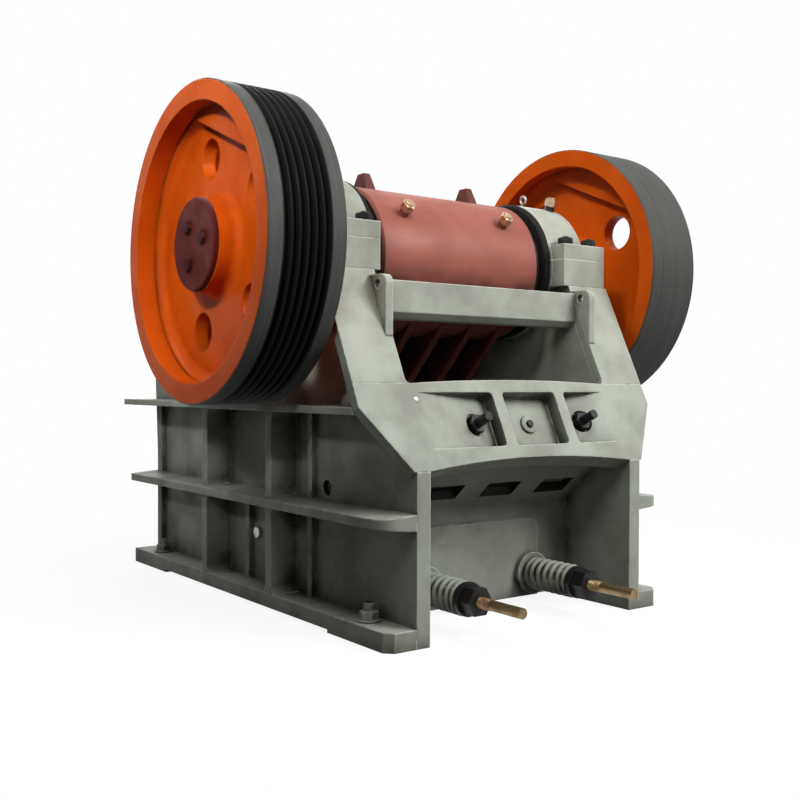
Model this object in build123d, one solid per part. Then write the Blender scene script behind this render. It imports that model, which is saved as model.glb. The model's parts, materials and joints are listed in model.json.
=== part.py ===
from build123d import *
import os
from math import cos, pi, radians, sin, tan

# A single-toggle jaw crusher on its own cast frame, in millimetres.
# Pieces are drawn with the shaft above Y = 0, the pulley at -X, the rear towards -Y and the ground at Z = 0.
# They are written with the origin midway along the frame, at ground level.

# Frame
SHAFT_FROM_REAR = 592.0
SHAFT_Z = 1162.0
WALL_T = 47.0
WALL_TOP_BELOW_SHAFT = 72.0
REAR_KNEE_Z = 497.0
REAR_LEAN = 25.6
FRONT_LEAN = 4.4
FRONT_WALL_T = 55.0
FRONT_RIB_DEPTH = 215.0
FRONT_RIB_SPACING = 276.0
FRONT_FLANGE_T = 34.0
FRONT_FOOT_REACH = 30.0

# Flanges and ribs on the outside of each side wall
FOOT_TOP_Z = 56.0
FOOT_REACH = 100.0
FOOT_PAD_H = 10.0
FOOT_PAD_LENGTH = 312.0
FOOT_CORNER = 25.0
MID_FLANGE_TOP_Z = 378.0
MID_FLANGE_ROOT_T = 48.0
MID_FLANGE_TIP_T = 28.0
MID_FLANGE_REACH = 118.0
MID_FLANGE_CORNER = 70.0
TOP_FLANGE_TOP_Z = 677.0
TOP_FLANGE_T = 22.0
TOP_FLANGE_REACH = 143.0
TOP_FLANGE_NOSE = 14.0
RIB_T = 36.0
RIB_REACH = 97.0
RIB_FILLET = 26.0
RIB_FIRST_Y = 91.0
RIB_SPACING = 480.0
STIFFENER_T = 24.0
STIFFENER_REACH = 22.0
STIFFENER_FILLET = 6.0
STIFFENER_REAR_Y = -45.0
STIFFENER_FRONT_Y = 381.0
ANCHOR_FROM_WALL = 48.5
ANCHOR_FROM_END = 166.0
ANCHOR_HOLE_R = 18.0
OIL_HOLE_Y = -118.0
OIL_HOLE_Z = 413.0
OIL_HOLE_R = 26.0
OIL_HOLE_DEPTH = 22.0

# Leaning rear flange, beam, ears and cross bar
LEG_T = 32.0
LEG_REACH = 187.0
BEAM_T = 78.0
BEAM_FOOT_REACH = 55.5
BEAM_BOTTOM_RISE = 28.0
WINDOW_SILL_Z = 746.0
WINDOW_SILL_RISE = 12.0
WINDOW_CORNER_R = 18.0
BEAM_OFFSET_X = 55.0
BEAM_RIB_X = 132.0
BEAM_RIB_T = 40.0
POCKET_DEPTH = 46.0
POCKET_END_X = 385.0
POCKET_BOTTOM_Z = 558.0
POCKET_TOP_Z = 719.0
POCKET_FILLET = 14.0
EAR_T = 26.0
EAR_REACH = 185.0
EAR_TOP_BELOW_WALL = 20.0
EAR_HOLE_R = 14.0
EAR_CORNER_R = 30.0
BAR_DEPTH = 78.0
BAR_HEIGHT = 117.0
BAR_CHAMFER = 20.0
BAR_TUBE_GAP = 18.0
BAR_TOP_BELOW_WALL = 30.0

# Rear wall under the beam, with the adjusting block and the toggle plate
REAR_WALL_Y = -300.0
REAR_WALL_T = 50.0
REAR_WALL_BOTTOM_Z = 25.0
REAR_WALL_TOP_Z = 325.0
REAR_WALL_RISE = 57.0
REAR_SHELF_T = 30.0
REAR_PAD_MARGIN = 38.0
REAR_PAD_TOP_Z = 288.0
REAR_PAD_PROUD = 12.0
REAR_PAD_CORNER_R = 40.0
SLOT_WIDTH = 140.0
SLOT_LENGTH = 55.0
SLOT_SPACING = 240.0
SLOT_FROM_BEAM = 137.0
BLOCK_SIDE_GAP = 14.0
BLOCK_DEPTH = 150.0
BLOCK_HEIGHT = 150.0
TOGGLE_RISE = 75.0
TOGGLE_LENGTH = 470.0
TOGGLE_T = 44.0
TOGGLE_SIDE_GAP = 34.0
TOGGLE_DROP = 20.0
STUD_X = 225.0
STUD_Z = 634.0
STUD_R = 15.0
STUD_OUT = 36.0
STUD_NUT_R = 31.0
STUD_NUT_T = 26.0
STUD_SPOT_R = 38.0
STUD_SPOT_DEPTH = 42.0

# Tension rods and their springs
ROD_FROM_JAW_SIDE = 84.0
ROD_Z = 105.0
ROD_R = 16.0
ROD_OUT = 475.0
ROD_HOLE_CLEARANCE = 7.0
SPRING_SEAT_R = 69.0
SPRING_SEAT_T = 20.0
SPRING_R = 47.5
SPRING_WIRE_R = 7.5
SPRING_WIRE_SIDES = 8
SPRING_TURNS = 7
SPRING_STEPS = 14
SPRING_LENGTH = 200.0
SPRING_CAP_R = 52.0
SPRING_CAP_T = 14.0
ROD_NUT_R = 46.0
ROD_NUT_T = 48.0
ROD_PIN_R = 15.0
ROD_EYE_WALL = 18.0
ROD_EYE_T = 26.0
ROD_PIN_Y = 590.0
FORK_GAP = 40.0
FORK_T = 22.0
FORK_WALL = 22.0

# Bearing housings
HOUSING_R = 248.0
HOUSING_GAP = 9.0
HOUSING_LIP = 52.5
HOUSING_OVERHANG = 98.5
HOUSING_CHAMFER = 8.0
SEAT_LIP = 22.5
SEAT_OVERHANG = 129.5
SPLIT_RISE = 23.0
CAP_FOOT_T = 53.0
SPIGOT_HALF_WIDTH = 110.0

# Eccentric shaft
ECCENTRICITY = 10.0
JOURNAL_R = 65.0
ECCENTRIC_R = 76.0
WHEEL_SEAT_R = 60.0
RUNNING_CLEARANCE = 0.08
MOVING_CLEARANCE = 5.0

# Pulley and flywheel
WHEEL_R = 485.0
WHEEL_WIDTH = 225.0
PULLEY_EXTRA_WIDTH = 25.0
RIM_T = 63.0
RIM_CHAMFER = 4.0
WEB_T = 45.0
WEB_RECESS = 96.0
WEB_FLARE = 36.0
HUB_R = 145.0
HUB_GAP = 52.0
HUB_PROUD = 38.0
HUB_RECESS = 27.0
HUB_FILLET = 30.0
HUB_COVER_R = 141.0
HUB_COVER_T = 17.0
WEB_HOLE_R = 62.0
PULLEY_HOLES = 5
PULLEY_HOLE_FIRST = 30.0
FLYWHEEL_HOLES = 4
FLYWHEEL_HOLE_FIRST = 32.0
COUNTERWEIGHT_GAP = 35.0
COUNTERWEIGHT_ANGLE = 66.7
COUNTERWEIGHT_RECESS = 60.0
GROOVES = 6
GROOVE_PITCH = 25.5
GROOVE_DEPTH = 20.0
GROOVE_TOP = 21.0
GROOVE_BOTTOM = 8.0

# Moving jaw
TUBE_R = 244.0
TUBE_OVERHANG = 13.0
TUBE_CHAMFER = 9.0
SEAL_SETBACK = 18.0
SEAL_T = 20.0
SEAL_SHAFT_GAP = 15.0
TUBE_LUG_FROM_END = 109.0
TUBE_LUG_Y = 30.0
TUBE_LUG_WIDTH = 48.0
TUBE_LUG_LENGTH = 105.0
TUBE_LUG_TOP_WIDTH = 24.0
TUBE_LUG_TOP_LENGTH = 38.0
TUBE_LUG_HEIGHT = 60.0
TUBE_LUG_ROOT = 20.0
SHOULDER_ANGLE = 62.0
SHOULDER_RISE = 40.0
SHOULDER_DROP = 60.0
JAW_SIDE_GAP = 6.0
JAW_RIB_T = 28.0
JAW_RIBS = 5
JAW_RIB_INSET = 54.0
JAW_RIB_ANGLE = 35.0
JAW_FRONT_T = 60.0
JAW_SEAT_DEPTH = 160.0
JAW_SEAT_HEIGHT = 140.0
JAW_SEAT_LIP = 10.0

# Crushing chamber
JAW_REACH = 531.0
GAPE = 400.0
CHAMBER_TOP_BELOW_SHAFT = 102.0
CHAMBER_BOTTOM_Z = 190.0
NIP_ANGLE = 20.0
PLATE_T = 80.0
PLATE_WIDTH = 640.0
TOOTH_PITCH = 80.0
TOOTH_DEPTH = 34.0
TOOTH_LAND = 22.0
CHEEK_GAP = 6.0
CHEEK_T = 40.0

# Places worked out from the sizes above: along the shaft
TUBE_LENGTH = PLATE_WIDTH + 2 * TUBE_OVERHANG
JAW_WIDTH = PLATE_WIDTH - 2 * JAW_SIDE_GAP
HOUSING_IN_X = TUBE_LENGTH / 2 + SEAL_T + HOUSING_GAP
WALL_IN_X = HOUSING_IN_X + HOUSING_LIP
WALL_OUT_X = WALL_IN_X + WALL_T
LEG_OUT_X = WALL_IN_X + LEG_REACH
HOUSING_OUT_X = WALL_OUT_X + HOUSING_OVERHANG
SEAT_IN_X = WALL_IN_X - SEAT_LIP
SEAT_OUT_X = WALL_OUT_X + SEAT_OVERHANG
HUB_IN_X = HOUSING_OUT_X + HUB_GAP
WHEEL_IN_X = HUB_IN_X + HUB_PROUD
WHEEL_OUT_X = WHEEL_IN_X + WHEEL_WIDTH
HUB_OUT_X = WHEEL_OUT_X - HUB_RECESS
CHEEK_IN_X = PLATE_WIDTH / 2 + CHEEK_GAP
CHEEK_OUT_X = CHEEK_IN_X + CHEEK_T
ANCHOR_X = WALL_OUT_X + ANCHOR_FROM_WALL
ROD_X = JAW_WIDTH / 2 - ROD_FROM_JAW_SIDE

# Heights
WALL_TOP_Z = SHAFT_Z - WALL_TOP_BELOW_SHAFT
CHAMBER_TOP_Z = SHAFT_Z - CHAMBER_TOP_BELOW_SHAFT
SPLIT_Z = SHAFT_Z + SPLIT_RISE
MID_FLANGE_Z = MID_FLANGE_TOP_Z - MID_FLANGE_ROOT_T / 2
TOGGLE_Z = REAR_WALL_TOP_Z + TOGGLE_RISE

# Along the frame
REAR_Y = -SHAFT_FROM_REAR
REAR_SLOPE = tan(radians(REAR_LEAN))
LEG_DEPTH = LEG_T / cos(radians(REAR_LEAN))
FRONT_SLOPE = tan(radians(FRONT_LEAN))
MOVING_LEAN = NIP_ANGLE - FRONT_LEAN
FIXED_FACE_Y = JAW_REACH + GAPE
BAR_REAR_Y = -TUBE_R - BAR_TUBE_GAP - BAR_DEPTH
BLOCK_FRONT_Y = REAR_WALL_Y + REAR_WALL_T + BLOCK_DEPTH
TOGGLE_END_Y = BLOCK_FRONT_Y + TOGGLE_LENGTH
SPRING_START_Y = REAR_WALL_Y - REAR_PAD_PROUD - SPRING_SEAT_T
RIM_IN_R = WHEEL_R - RIM_T
WEB_HOLE_CIRCLE_R = (HUB_R + RIM_IN_R) / 2
NEAREST_HOLE = radians(COUNTERWEIGHT_ANGLE - FLYWHEEL_HOLE_FIRST)
COUNTERWEIGHT_CHORD = WEB_HOLE_CIRCLE_R * cos(NEAREST_HOLE) + WEB_HOLE_R + COUNTERWEIGHT_GAP
ECCENTRIC_Y = ECCENTRICITY * cos(radians(COUNTERWEIGHT_ANGLE))
ECCENTRIC_Z = -ECCENTRICITY * sin(radians(COUNTERWEIGHT_ANGLE))


def rear_face_y(z):
    """Y of the leaning rear face at a height."""
    return REAR_Y + REAR_SLOPE * (z - REAR_KNEE_Z)


def leg_back_y(z):
    """Y of the inner face of the leaning rear flange at a height."""
    return rear_face_y(z) + LEG_DEPTH


def front_wall_y(z):
    """Y of the inner face of the front wall at a height."""
    return FIXED_FACE_Y + PLATE_T / cos(radians(FRONT_LEAN)) + FRONT_SLOPE * (z - CHAMBER_TOP_Z)


def front_edge_y(z):
    """Y of the front edge of a side wall at a height."""
    return front_wall_y(z) + FRONT_WALL_T + FRONT_RIB_DEPTH


def moving_face_y(z):
    """Y of the crushing face of the moving jaw plate at a height, with the shaft at mid throw."""
    return JAW_REACH + tan(radians(MOVING_LEAN)) * (CHAMBER_TOP_Z - z)


def on_jaw(depth, z):
    """Point of the moving jaw at a depth behind the crushing face, square to it."""
    angle = radians(MOVING_LEAN)
    return (moving_face_y(z) - depth * cos(angle), z - depth * sin(angle))


FRONT_Y = front_edge_y(0) + FRONT_FOOT_REACH
FRAME_LENGTH = FRONT_Y - REAR_Y
SHAFT_Y = SHAFT_FROM_REAR - FRAME_LENGTH / 2
SEAT_HALF_LENGTH = -rear_face_y(WALL_TOP_Z)

os.makedirs("parts", exist_ok=True)


def write(name, shape):
    """Write one piece, moved so that the origin lies midway along the frame."""
    export_step(Pos(0, SHAFT_Y, 0) * shape, f"parts/{name}.step")


def write_pair(name, right_piece):
    """Write a piece of the right side and its mirror image on the left."""
    write(f"right_{name}", right_piece)
    write(f"left_{name}", mirror(right_piece, Plane.YZ))


def side_prism(outline, x_start, x_end):
    """Solid of a side view, given as (y, z) points, from one X to another."""
    face = Plane.YZ.offset(x_start) * make_face(Polyline(*outline, close=True))
    return extrude(face, x_end - x_start, dir=(1, 0, 0))


def end_prism(outline, y_start, y_end):
    """Solid of an end view, given as (x, z) points, from one Y to another."""
    face = Plane.XZ.offset(-y_start) * make_face(Polyline(*outline, close=True))
    return extrude(face, y_end - y_start, dir=(0, 1, 0))


def box_between(low, high):
    """Box from its lowest to its highest corner."""
    size = [b - a for a, b in zip(low, high)]
    return Pos(*low) * Box(*size, align=(Align.MIN, Align.MIN, Align.MIN))


def x_cylinder(radius, x_start, x_end, y=0.0, z=SHAFT_Z):
    """Round bar along X."""
    bar = Cylinder(radius, x_end - x_start, align=(Align.CENTER, Align.CENTER, Align.MIN))
    return Pos(x_start, y, z) * Rot(0, 90, 0) * bar


def y_cylinder(radius, y_start, y_end, x, z):
    """Round bar along Y."""
    bar = Cylinder(radius, y_end - y_start, align=(Align.CENTER, Align.CENTER, Align.MAX))
    return Pos(x, y_start, z) * Rot(90, 0, 0) * bar


def fuse(pieces):
    """One solid from pieces that touch or overlap."""
    whole = pieces[0]
    for piece in pieces[1:]:
        whole = whole + piece
    return whole


# Side walls


def chamber_outline(rear_margin):
    """Side view of the crushing chamber, from behind the moving face to the front wall."""
    return [
        (moving_face_y(CHAMBER_BOTTOM_Z) - rear_margin, CHAMBER_BOTTOM_Z),
        (front_wall_y(CHAMBER_BOTTOM_Z), CHAMBER_BOTTOM_Z),
        (front_wall_y(CHAMBER_TOP_Z), CHAMBER_TOP_Z),
        (moving_face_y(CHAMBER_TOP_Z) - rear_margin, CHAMBER_TOP_Z),
    ]


def side_wall():
    """Right side wall: one plate with a thicker panel behind the cheek plate and a blind oil hole."""
    angle = radians(REAR_LEAN)
    outline = [
        (REAR_Y, 0),
        (REAR_Y, REAR_KNEE_Z),
        (REAR_Y + LEG_T * cos(angle), REAR_KNEE_Z - LEG_T * sin(angle)),
        (leg_back_y(WALL_TOP_Z), WALL_TOP_Z),
        (front_edge_y(WALL_TOP_Z), WALL_TOP_Z),
        (front_edge_y(0), 0),
    ]
    panel = side_prism(chamber_outline(PLATE_T + CHEEK_T), CHEEK_OUT_X, WALL_IN_X)
    hole_end = WALL_OUT_X - OIL_HOLE_DEPTH
    hole = x_cylinder(OIL_HOLE_R, hole_end, WALL_OUT_X + OIL_HOLE_DEPTH, OIL_HOLE_Y, OIL_HOLE_Z)
    return side_prism(outline, WALL_IN_X, WALL_OUT_X) + panel - hole


def foot():
    """Right foot flange with its two pads and foundation bolt holes."""
    out_x = WALL_OUT_X + FOOT_REACH
    plan = [
        (WALL_OUT_X, REAR_Y),
        (out_x - FOOT_CORNER, REAR_Y),
        (out_x, REAR_Y + FOOT_CORNER),
        (out_x, FRONT_Y),
        (WALL_OUT_X, FRONT_Y),
    ]
    slab = extrude(make_face(Polyline(*plan, close=True)), FOOT_TOP_Z)
    slab = slab - box_between(
        (WALL_OUT_X, REAR_Y + FOOT_PAD_LENGTH, 0),
        (out_x, FRONT_Y - FOOT_PAD_LENGTH, FOOT_PAD_H),
    )
    for y in (REAR_Y + ANCHOR_FROM_END, FRONT_Y - ANCHOR_FROM_END):
        slab = slab - Pos(ANCHOR_X, y, 0) * Cylinder(ANCHOR_HOLE_R, 3 * FOOT_TOP_Z)
    return slab


def middle_flange():
    """Right middle flange, thinner towards its edge and rounded at its rear end."""
    out_x = WALL_OUT_X + MID_FLANGE_REACH
    round_x = out_x - MID_FLANGE_CORNER
    round_y = REAR_Y + MID_FLANGE_CORNER
    edge = Polyline(
        (out_x, round_y),
        (out_x, FRONT_Y),
        (WALL_OUT_X, FRONT_Y),
        (WALL_OUT_X, REAR_Y),
        (round_x, REAR_Y),
    )
    half_turn = MID_FLANGE_CORNER * sin(radians(45))
    round_end = ThreePointArc((round_x, REAR_Y), (round_x + half_turn, round_y - half_turn), (out_x, round_y))
    slab = extrude(make_face([edge, round_end]), MID_FLANGE_TOP_Z)
    taper = end_prism(
        [
            (WALL_OUT_X, MID_FLANGE_Z - MID_FLANGE_ROOT_T / 2),
            (out_x, MID_FLANGE_Z - MID_FLANGE_TIP_T / 2),
            (out_x, MID_FLANGE_Z + MID_FLANGE_TIP_T / 2),
            (WALL_OUT_X, MID_FLANGE_Z + MID_FLANGE_ROOT_T / 2),
        ],
        REAR_Y,
        FRONT_Y,
    )
    return slab & taper


def top_flange():
    """Right top flange, from the leaning rear flange to a nose past the front wall."""
    low_z = TOP_FLANGE_TOP_Z - TOP_FLANGE_T
    nose_y = FRONT_Y + TOP_FLANGE_NOSE
    outline = [
        (leg_back_y(low_z), low_z),
        (nose_y, low_z),
        (nose_y, TOP_FLANGE_TOP_Z),
        (leg_back_y(TOP_FLANGE_TOP_Z), TOP_FLANGE_TOP_Z),
    ]
    return side_prism(outline, WALL_OUT_X, WALL_OUT_X + TOP_FLANGE_REACH)


def flared_rib(y, thickness, reach, fillet_r, low_z, high_z):
    """Upright rib on the right wall that widens in a round root at both ends."""
    half = thickness / 2
    turn = fillet_r * (1 - cos(radians(45)))
    edges = []
    for side in (-1, 1):
        inner = y + side * half
        outer = inner + side * fillet_r
        bend = inner + side * turn
        edges += [
            ThreePointArc((outer, low_z), (bend, low_z + turn), (inner, low_z + fillet_r)),
            Line((inner, low_z + fillet_r), (inner, high_z - fillet_r)),
            ThreePointArc((inner, high_z - fillet_r), (bend, high_z - turn), (outer, high_z)),
        ]
    flare = half + fillet_r
    edges += [Line((y - flare, low_z), (y + flare, low_z)), Line((y - flare, high_z), (y + flare, high_z))]
    return extrude(Plane.YZ.offset(WALL_OUT_X) * make_face(edges), reach, dir=(1, 0, 0))


def wall_ribs():
    """Upright ribs of the right wall, in the bays between its flanges."""
    lower = (FOOT_TOP_Z, MID_FLANGE_Z - MID_FLANGE_TIP_T / 2)
    upper = (MID_FLANGE_Z + MID_FLANGE_TIP_T / 2, TOP_FLANGE_TOP_Z - TOP_FLANGE_T)
    places = [
        (RIB_FIRST_Y, RIB_T, RIB_REACH, RIB_FILLET, (lower, upper)),
        (RIB_FIRST_Y + RIB_SPACING, RIB_T, RIB_REACH, RIB_FILLET, (lower, upper)),
        (STIFFENER_REAR_Y, STIFFENER_T, STIFFENER_REACH, STIFFENER_FILLET, (lower, upper)),
        (STIFFENER_FRONT_Y, STIFFENER_T, STIFFENER_REACH, STIFFENER_FILLET, (lower,)),
        (front_edge_y(0) - RIB_T, RIB_T, STIFFENER_REACH, STIFFENER_FILLET, (lower, upper)),
    ]
    flange = middle_flange()
    ribs = []
    for y, thickness, reach, fillet_r, bays in places:
        for low_z, high_z in bays:
            ribs.append(flared_rib(y, thickness, reach, fillet_r, low_z, high_z) - flange)
    return Compound(ribs)


# Rear flange, beam, ears and cross bar


def leg():
    """Right leg of the leaning rear flange, beside the window."""
    outline = [
        beam_point(0, WINDOW_SILL_Z),
        beam_point(LEG_T, WINDOW_SILL_Z),
        (leg_back_y(WALL_TOP_Z), WALL_TOP_Z),
        (rear_face_y(WALL_TOP_Z), WALL_TOP_Z),
    ]
    return side_prism(outline, WALL_IN_X, LEG_OUT_X)


def beam_plane():
    """Plane of the leaning rear face: X across, Y up the slope, Z outwards."""
    angle = radians(REAR_LEAN)
    return Plane(origin=(0, REAR_Y, REAR_KNEE_Z), x_dir=(1, 0, 0), z_dir=(0, -cos(angle), sin(angle)))


def beam_point(depth, z):
    """Point at a depth behind the leaning rear face, square to it, from a height on that face."""
    angle = radians(REAR_LEAN)
    return (rear_face_y(z) + depth * cos(angle), z - depth * sin(angle))


def up_slope(z):
    """Distance up the leaning face to a height."""
    return (z - REAR_KNEE_Z) / cos(radians(REAR_LEAN))


def beam_face(top_half_width, foot_half_width):
    """Outline of the beam on its leaning face: arched foot, arched sill with round corners under the legs."""
    sill = up_slope(WINDOW_SILL_Z)
    shoulder = up_slope(TOP_FLANGE_TOP_Z)
    corner = WALL_IN_X - WINDOW_CORNER_R
    bend = WINDOW_CORNER_R * (1 - cos(radians(45)))
    edges = [
        ThreePointArc((-WALL_IN_X, 0), (0, BEAM_BOTTOM_RISE), (WALL_IN_X, 0)),
        ThreePointArc((-corner, sill), (0, sill + WINDOW_SILL_RISE), (corner, sill)),
    ]
    for side in (-1, 1):
        wall = side * WALL_IN_X
        outer = side * top_half_width
        points = [(wall, 0), (side * foot_half_width, 0), (outer, shoulder), (outer, sill), (wall, sill)]
        points = [p for n, p in enumerate(points) if p not in points[:n]]
        top = (wall, sill + WINDOW_CORNER_R)
        edges.append(Polyline(*points))
        edges.append(Line((wall, sill), top))
        edges.append(ThreePointArc(top, (wall - side * bend, sill + bend), (side * corner, sill)))
    return make_face(edges)


def beam_pockets():
    """The middle pocket of even depth, and one on each side that fades out towards the leg."""
    low = up_slope(POCKET_BOTTOM_Z)
    high = up_slope(POCKET_TOP_Z)
    inner = BEAM_RIB_X - BEAM_RIB_T / 2
    outer = BEAM_RIB_X + BEAM_RIB_T / 2
    middle = Pos(BEAM_OFFSET_X, (low + high) / 2, -POCKET_DEPTH) * Box(
        2 * inner, high - low, 2 * POCKET_DEPTH, align=(Align.CENTER, Align.CENTER, Align.MIN)
    )
    middle = fillet(middle.edges().filter_by(Axis.Z), POCKET_FILLET)
    pockets = [middle]
    for side in (-1, 1):
        start = BEAM_OFFSET_X + side * outer
        wedge = Polyline((start, 0), (side * POCKET_END_X, 0), (start, -POCKET_DEPTH), close=True)
        pocket = extrude(Plane.XZ.offset(-low) * make_face(wedge), high - low, dir=(0, 1, 0))
        pockets.append(fillet(pocket.edges().filter_by(Axis.Z), POCKET_FILLET))
    return [beam_plane() * pocket for pocket in pockets]


def rear_beam():
    """Beam below the window, thick between the side walls, with three pockets in its rear face."""
    plate = extrude(beam_plane() * beam_face(LEG_OUT_X, WALL_IN_X + BEAM_FOOT_REACH), -LEG_T)
    core = extrude(beam_plane() * beam_face(WALL_IN_X, WALL_IN_X), -BEAM_T)
    beam = plate + core
    for pocket in beam_pockets():
        beam = beam - pocket
    for side in (-1, 1):
        x = BEAM_OFFSET_X + side * STUD_X
        beam = beam - stud_bar(x, STUD_SPOT_R, STUD_SPOT_DEPTH, STUD_OUT) - stud_bar(x, STUD_R, 2 * BEAM_T, STUD_OUT)
    return beam


def stud_bar(x, radius, inside, outside):
    """Round bar square to the beam at the height of the adjusting studs."""
    bar = Cylinder(radius, inside + outside, align=(Align.CENTER, Align.CENTER, Align.MIN))
    return beam_plane() * Pos(x, up_slope(STUD_Z), -inside) * bar


def adjusting_stud(x):
    """Adjusting stud with its nut on the spot face of the pocket."""
    nut = extrude(RegularPolygon(STUD_NUT_R, 6), STUD_NUT_T)
    nut = beam_plane() * Pos(x, up_slope(STUD_Z), -STUD_SPOT_DEPTH) * nut
    return stud_bar(x, STUD_R, BEAM_T, STUD_OUT) + nut


def ear():
    """Right lifting ear: an upright gusset on the leg beside the window, with a round top corner."""
    rear_y = REAR_Y + EAR_REACH
    low_z = REAR_KNEE_Z + EAR_REACH / REAR_SLOPE
    top_z = WALL_TOP_Z - EAR_TOP_BELOW_WALL
    outline = [(rear_y, low_z), (rear_y, top_z), (rear_face_y(top_z), top_z)]
    plate = side_prism(outline, WALL_IN_X, WALL_IN_X + EAR_T)
    rear_top = plate.edges().filter_by(Axis.X).sort_by(Axis.Y)[:2].sort_by(Axis.Z)[-1]
    plate = fillet(rear_top, EAR_CORNER_R)
    hole_y = (rear_y + rear_face_y(top_z)) / 2
    return plate - x_cylinder(EAR_HOLE_R, WALL_IN_X - EAR_T, WALL_IN_X + 2 * EAR_T, hole_y, top_z - 2 * EAR_HOLE_R)


def cross_bar():
    """Bar between the two legs, chamfered along its lower rear edge."""
    top_z = WALL_TOP_Z - BAR_TOP_BELOW_WALL
    low_z = top_z - BAR_HEIGHT
    outline = [
        (BAR_REAR_Y, top_z),
        (BAR_REAR_Y, low_z + BAR_CHAMFER),
        (BAR_REAR_Y + BAR_CHAMFER, low_z),
        (BAR_REAR_Y + BAR_DEPTH, low_z),
        (BAR_REAR_Y + BAR_DEPTH, top_z),
    ]
    return side_prism(outline, -WALL_IN_X, WALL_IN_X)


# Rear wall, adjusting block and toggle plate


def slope_plate():
    """Plate that leans from the top of the rear wall out to the back of the beam."""
    start_z = REAR_KNEE_Z + 2 * BEAM_BOTTOM_RISE
    end_z = REAR_WALL_TOP_Z + REAR_WALL_RISE
    outline = [
        beam_point(BEAM_T, start_z),
        (REAR_WALL_Y, end_z - REAR_SHELF_T),
        (REAR_WALL_Y, end_z),
        beam_point(BEAM_T, start_z + REAR_SHELF_T),
    ]
    return side_prism(outline, -WALL_IN_X, WALL_IN_X)


def slope_slot(x):
    """Slot down through the leaning plate."""
    start_y = beam_point(BEAM_T, REAR_KNEE_Z)[0] + SLOT_FROM_BEAM
    low = (x - SLOT_WIDTH / 2, start_y, REAR_WALL_BOTTOM_Z)
    return box_between(low, (x + SLOT_WIDTH / 2, start_y + SLOT_LENGTH, WINDOW_SILL_Z))


def rear_pad():
    """Raised panel on the rear wall behind the springs, with round upper corners."""
    half = ROD_X + REAR_PAD_MARGIN
    pad = box_between(
        (-half, REAR_WALL_Y - REAR_PAD_PROUD, REAR_WALL_BOTTOM_Z),
        (half, REAR_WALL_Y, REAR_PAD_TOP_Z),
    )
    upper = pad.edges().filter_by(Axis.Y).sort_by(Axis.Z)[-2:]
    return fillet(upper, REAR_PAD_CORNER_R)


def rear_wall():
    """Lower rear wall with the slotted slope up to the beam and the shelf of the adjusting block."""
    front_y = REAR_WALL_Y + REAR_WALL_T
    wall = box_between(
        (-WALL_IN_X, REAR_WALL_Y, REAR_WALL_BOTTOM_Z),
        (WALL_IN_X, front_y, REAR_WALL_TOP_Z + REAR_WALL_RISE),
    )
    shelf = box_between(
        (-WALL_IN_X, REAR_WALL_Y, REAR_WALL_TOP_Z - REAR_SHELF_T),
        (WALL_IN_X, BLOCK_FRONT_Y, REAR_WALL_TOP_Z),
    )
    whole = fuse([wall, shelf, slope_plate(), rear_pad()])
    for place in (-1, 0, 1):
        whole = whole - slope_slot(BEAM_OFFSET_X + place * SLOT_SPACING)
    hole_r = ROD_R + ROD_HOLE_CLEARANCE
    for side in (-1, 1):
        whole = whole - y_cylinder(hole_r, REAR_WALL_Y - REAR_WALL_T, front_y + REAR_WALL_T, side * ROD_X, ROD_Z)
    return whole


def adjusting_block():
    """Block on the shelf that holds the rear end of the toggle plate in a round groove."""
    half = JAW_WIDTH / 2 - BLOCK_SIDE_GAP
    block = box_between(
        (-half, REAR_WALL_Y + REAR_WALL_T, REAR_WALL_TOP_Z),
        (half, BLOCK_FRONT_Y, REAR_WALL_TOP_Z + BLOCK_HEIGHT),
    )
    return block - x_cylinder(TOGGLE_T / 2, -JAW_WIDTH, JAW_WIDTH, BLOCK_FRONT_Y, TOGGLE_Z)


def toggle_plate():
    """Toggle plate with rounded ends, from the adjusting block to the seat on the jaw."""
    half = TOGGLE_T / 2
    reach = JAW_WIDTH / 2 - TOGGLE_SIDE_GAP
    end_y = TOGGLE_END_Y - half
    end_z = TOGGLE_Z - TOGGLE_DROP
    web = side_prism(
        [
            (BLOCK_FRONT_Y, TOGGLE_Z - half),
            (end_y, end_z - half),
            (end_y, end_z + half),
            (BLOCK_FRONT_Y, TOGGLE_Z + half),
        ],
        -reach,
        reach,
    )
    rear_end = x_cylinder(half, -reach, reach, BLOCK_FRONT_Y, TOGGLE_Z)
    front_end = x_cylinder(half, -reach, reach, end_y, end_z)
    return fuse([web, rear_end, front_end])


# Tension rods and springs


def tension_rod():
    """Right tension rod, with an open eye round the pin of the jaw."""
    eye_hole_r = ROD_PIN_R + ECCENTRICITY + MOVING_CLEARANCE
    half = ROD_EYE_T / 2
    rod = y_cylinder(ROD_R, REAR_WALL_Y - ROD_OUT, ROD_PIN_Y - eye_hole_r - ROD_EYE_WALL / 2, ROD_X, ROD_Z)
    eye = x_cylinder(eye_hole_r + ROD_EYE_WALL, ROD_X - half, ROD_X + half, ROD_PIN_Y, ROD_Z)
    eye = eye - x_cylinder(eye_hole_r, ROD_X - ROD_EYE_T, ROD_X + ROD_EYE_T, ROD_PIN_Y, ROD_Z)
    return rod + eye


def spring_seat():
    """Round seat of the right spring against the rear wall."""
    start_y = REAR_WALL_Y - REAR_PAD_PROUD
    ring = y_cylinder(SPRING_SEAT_R, start_y - SPRING_SEAT_T, start_y, ROD_X, ROD_Z)
    return ring - y_cylinder(ROD_R, start_y - 2 * SPRING_SEAT_T, start_y + SPRING_SEAT_T, ROD_X, ROD_Z)


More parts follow.
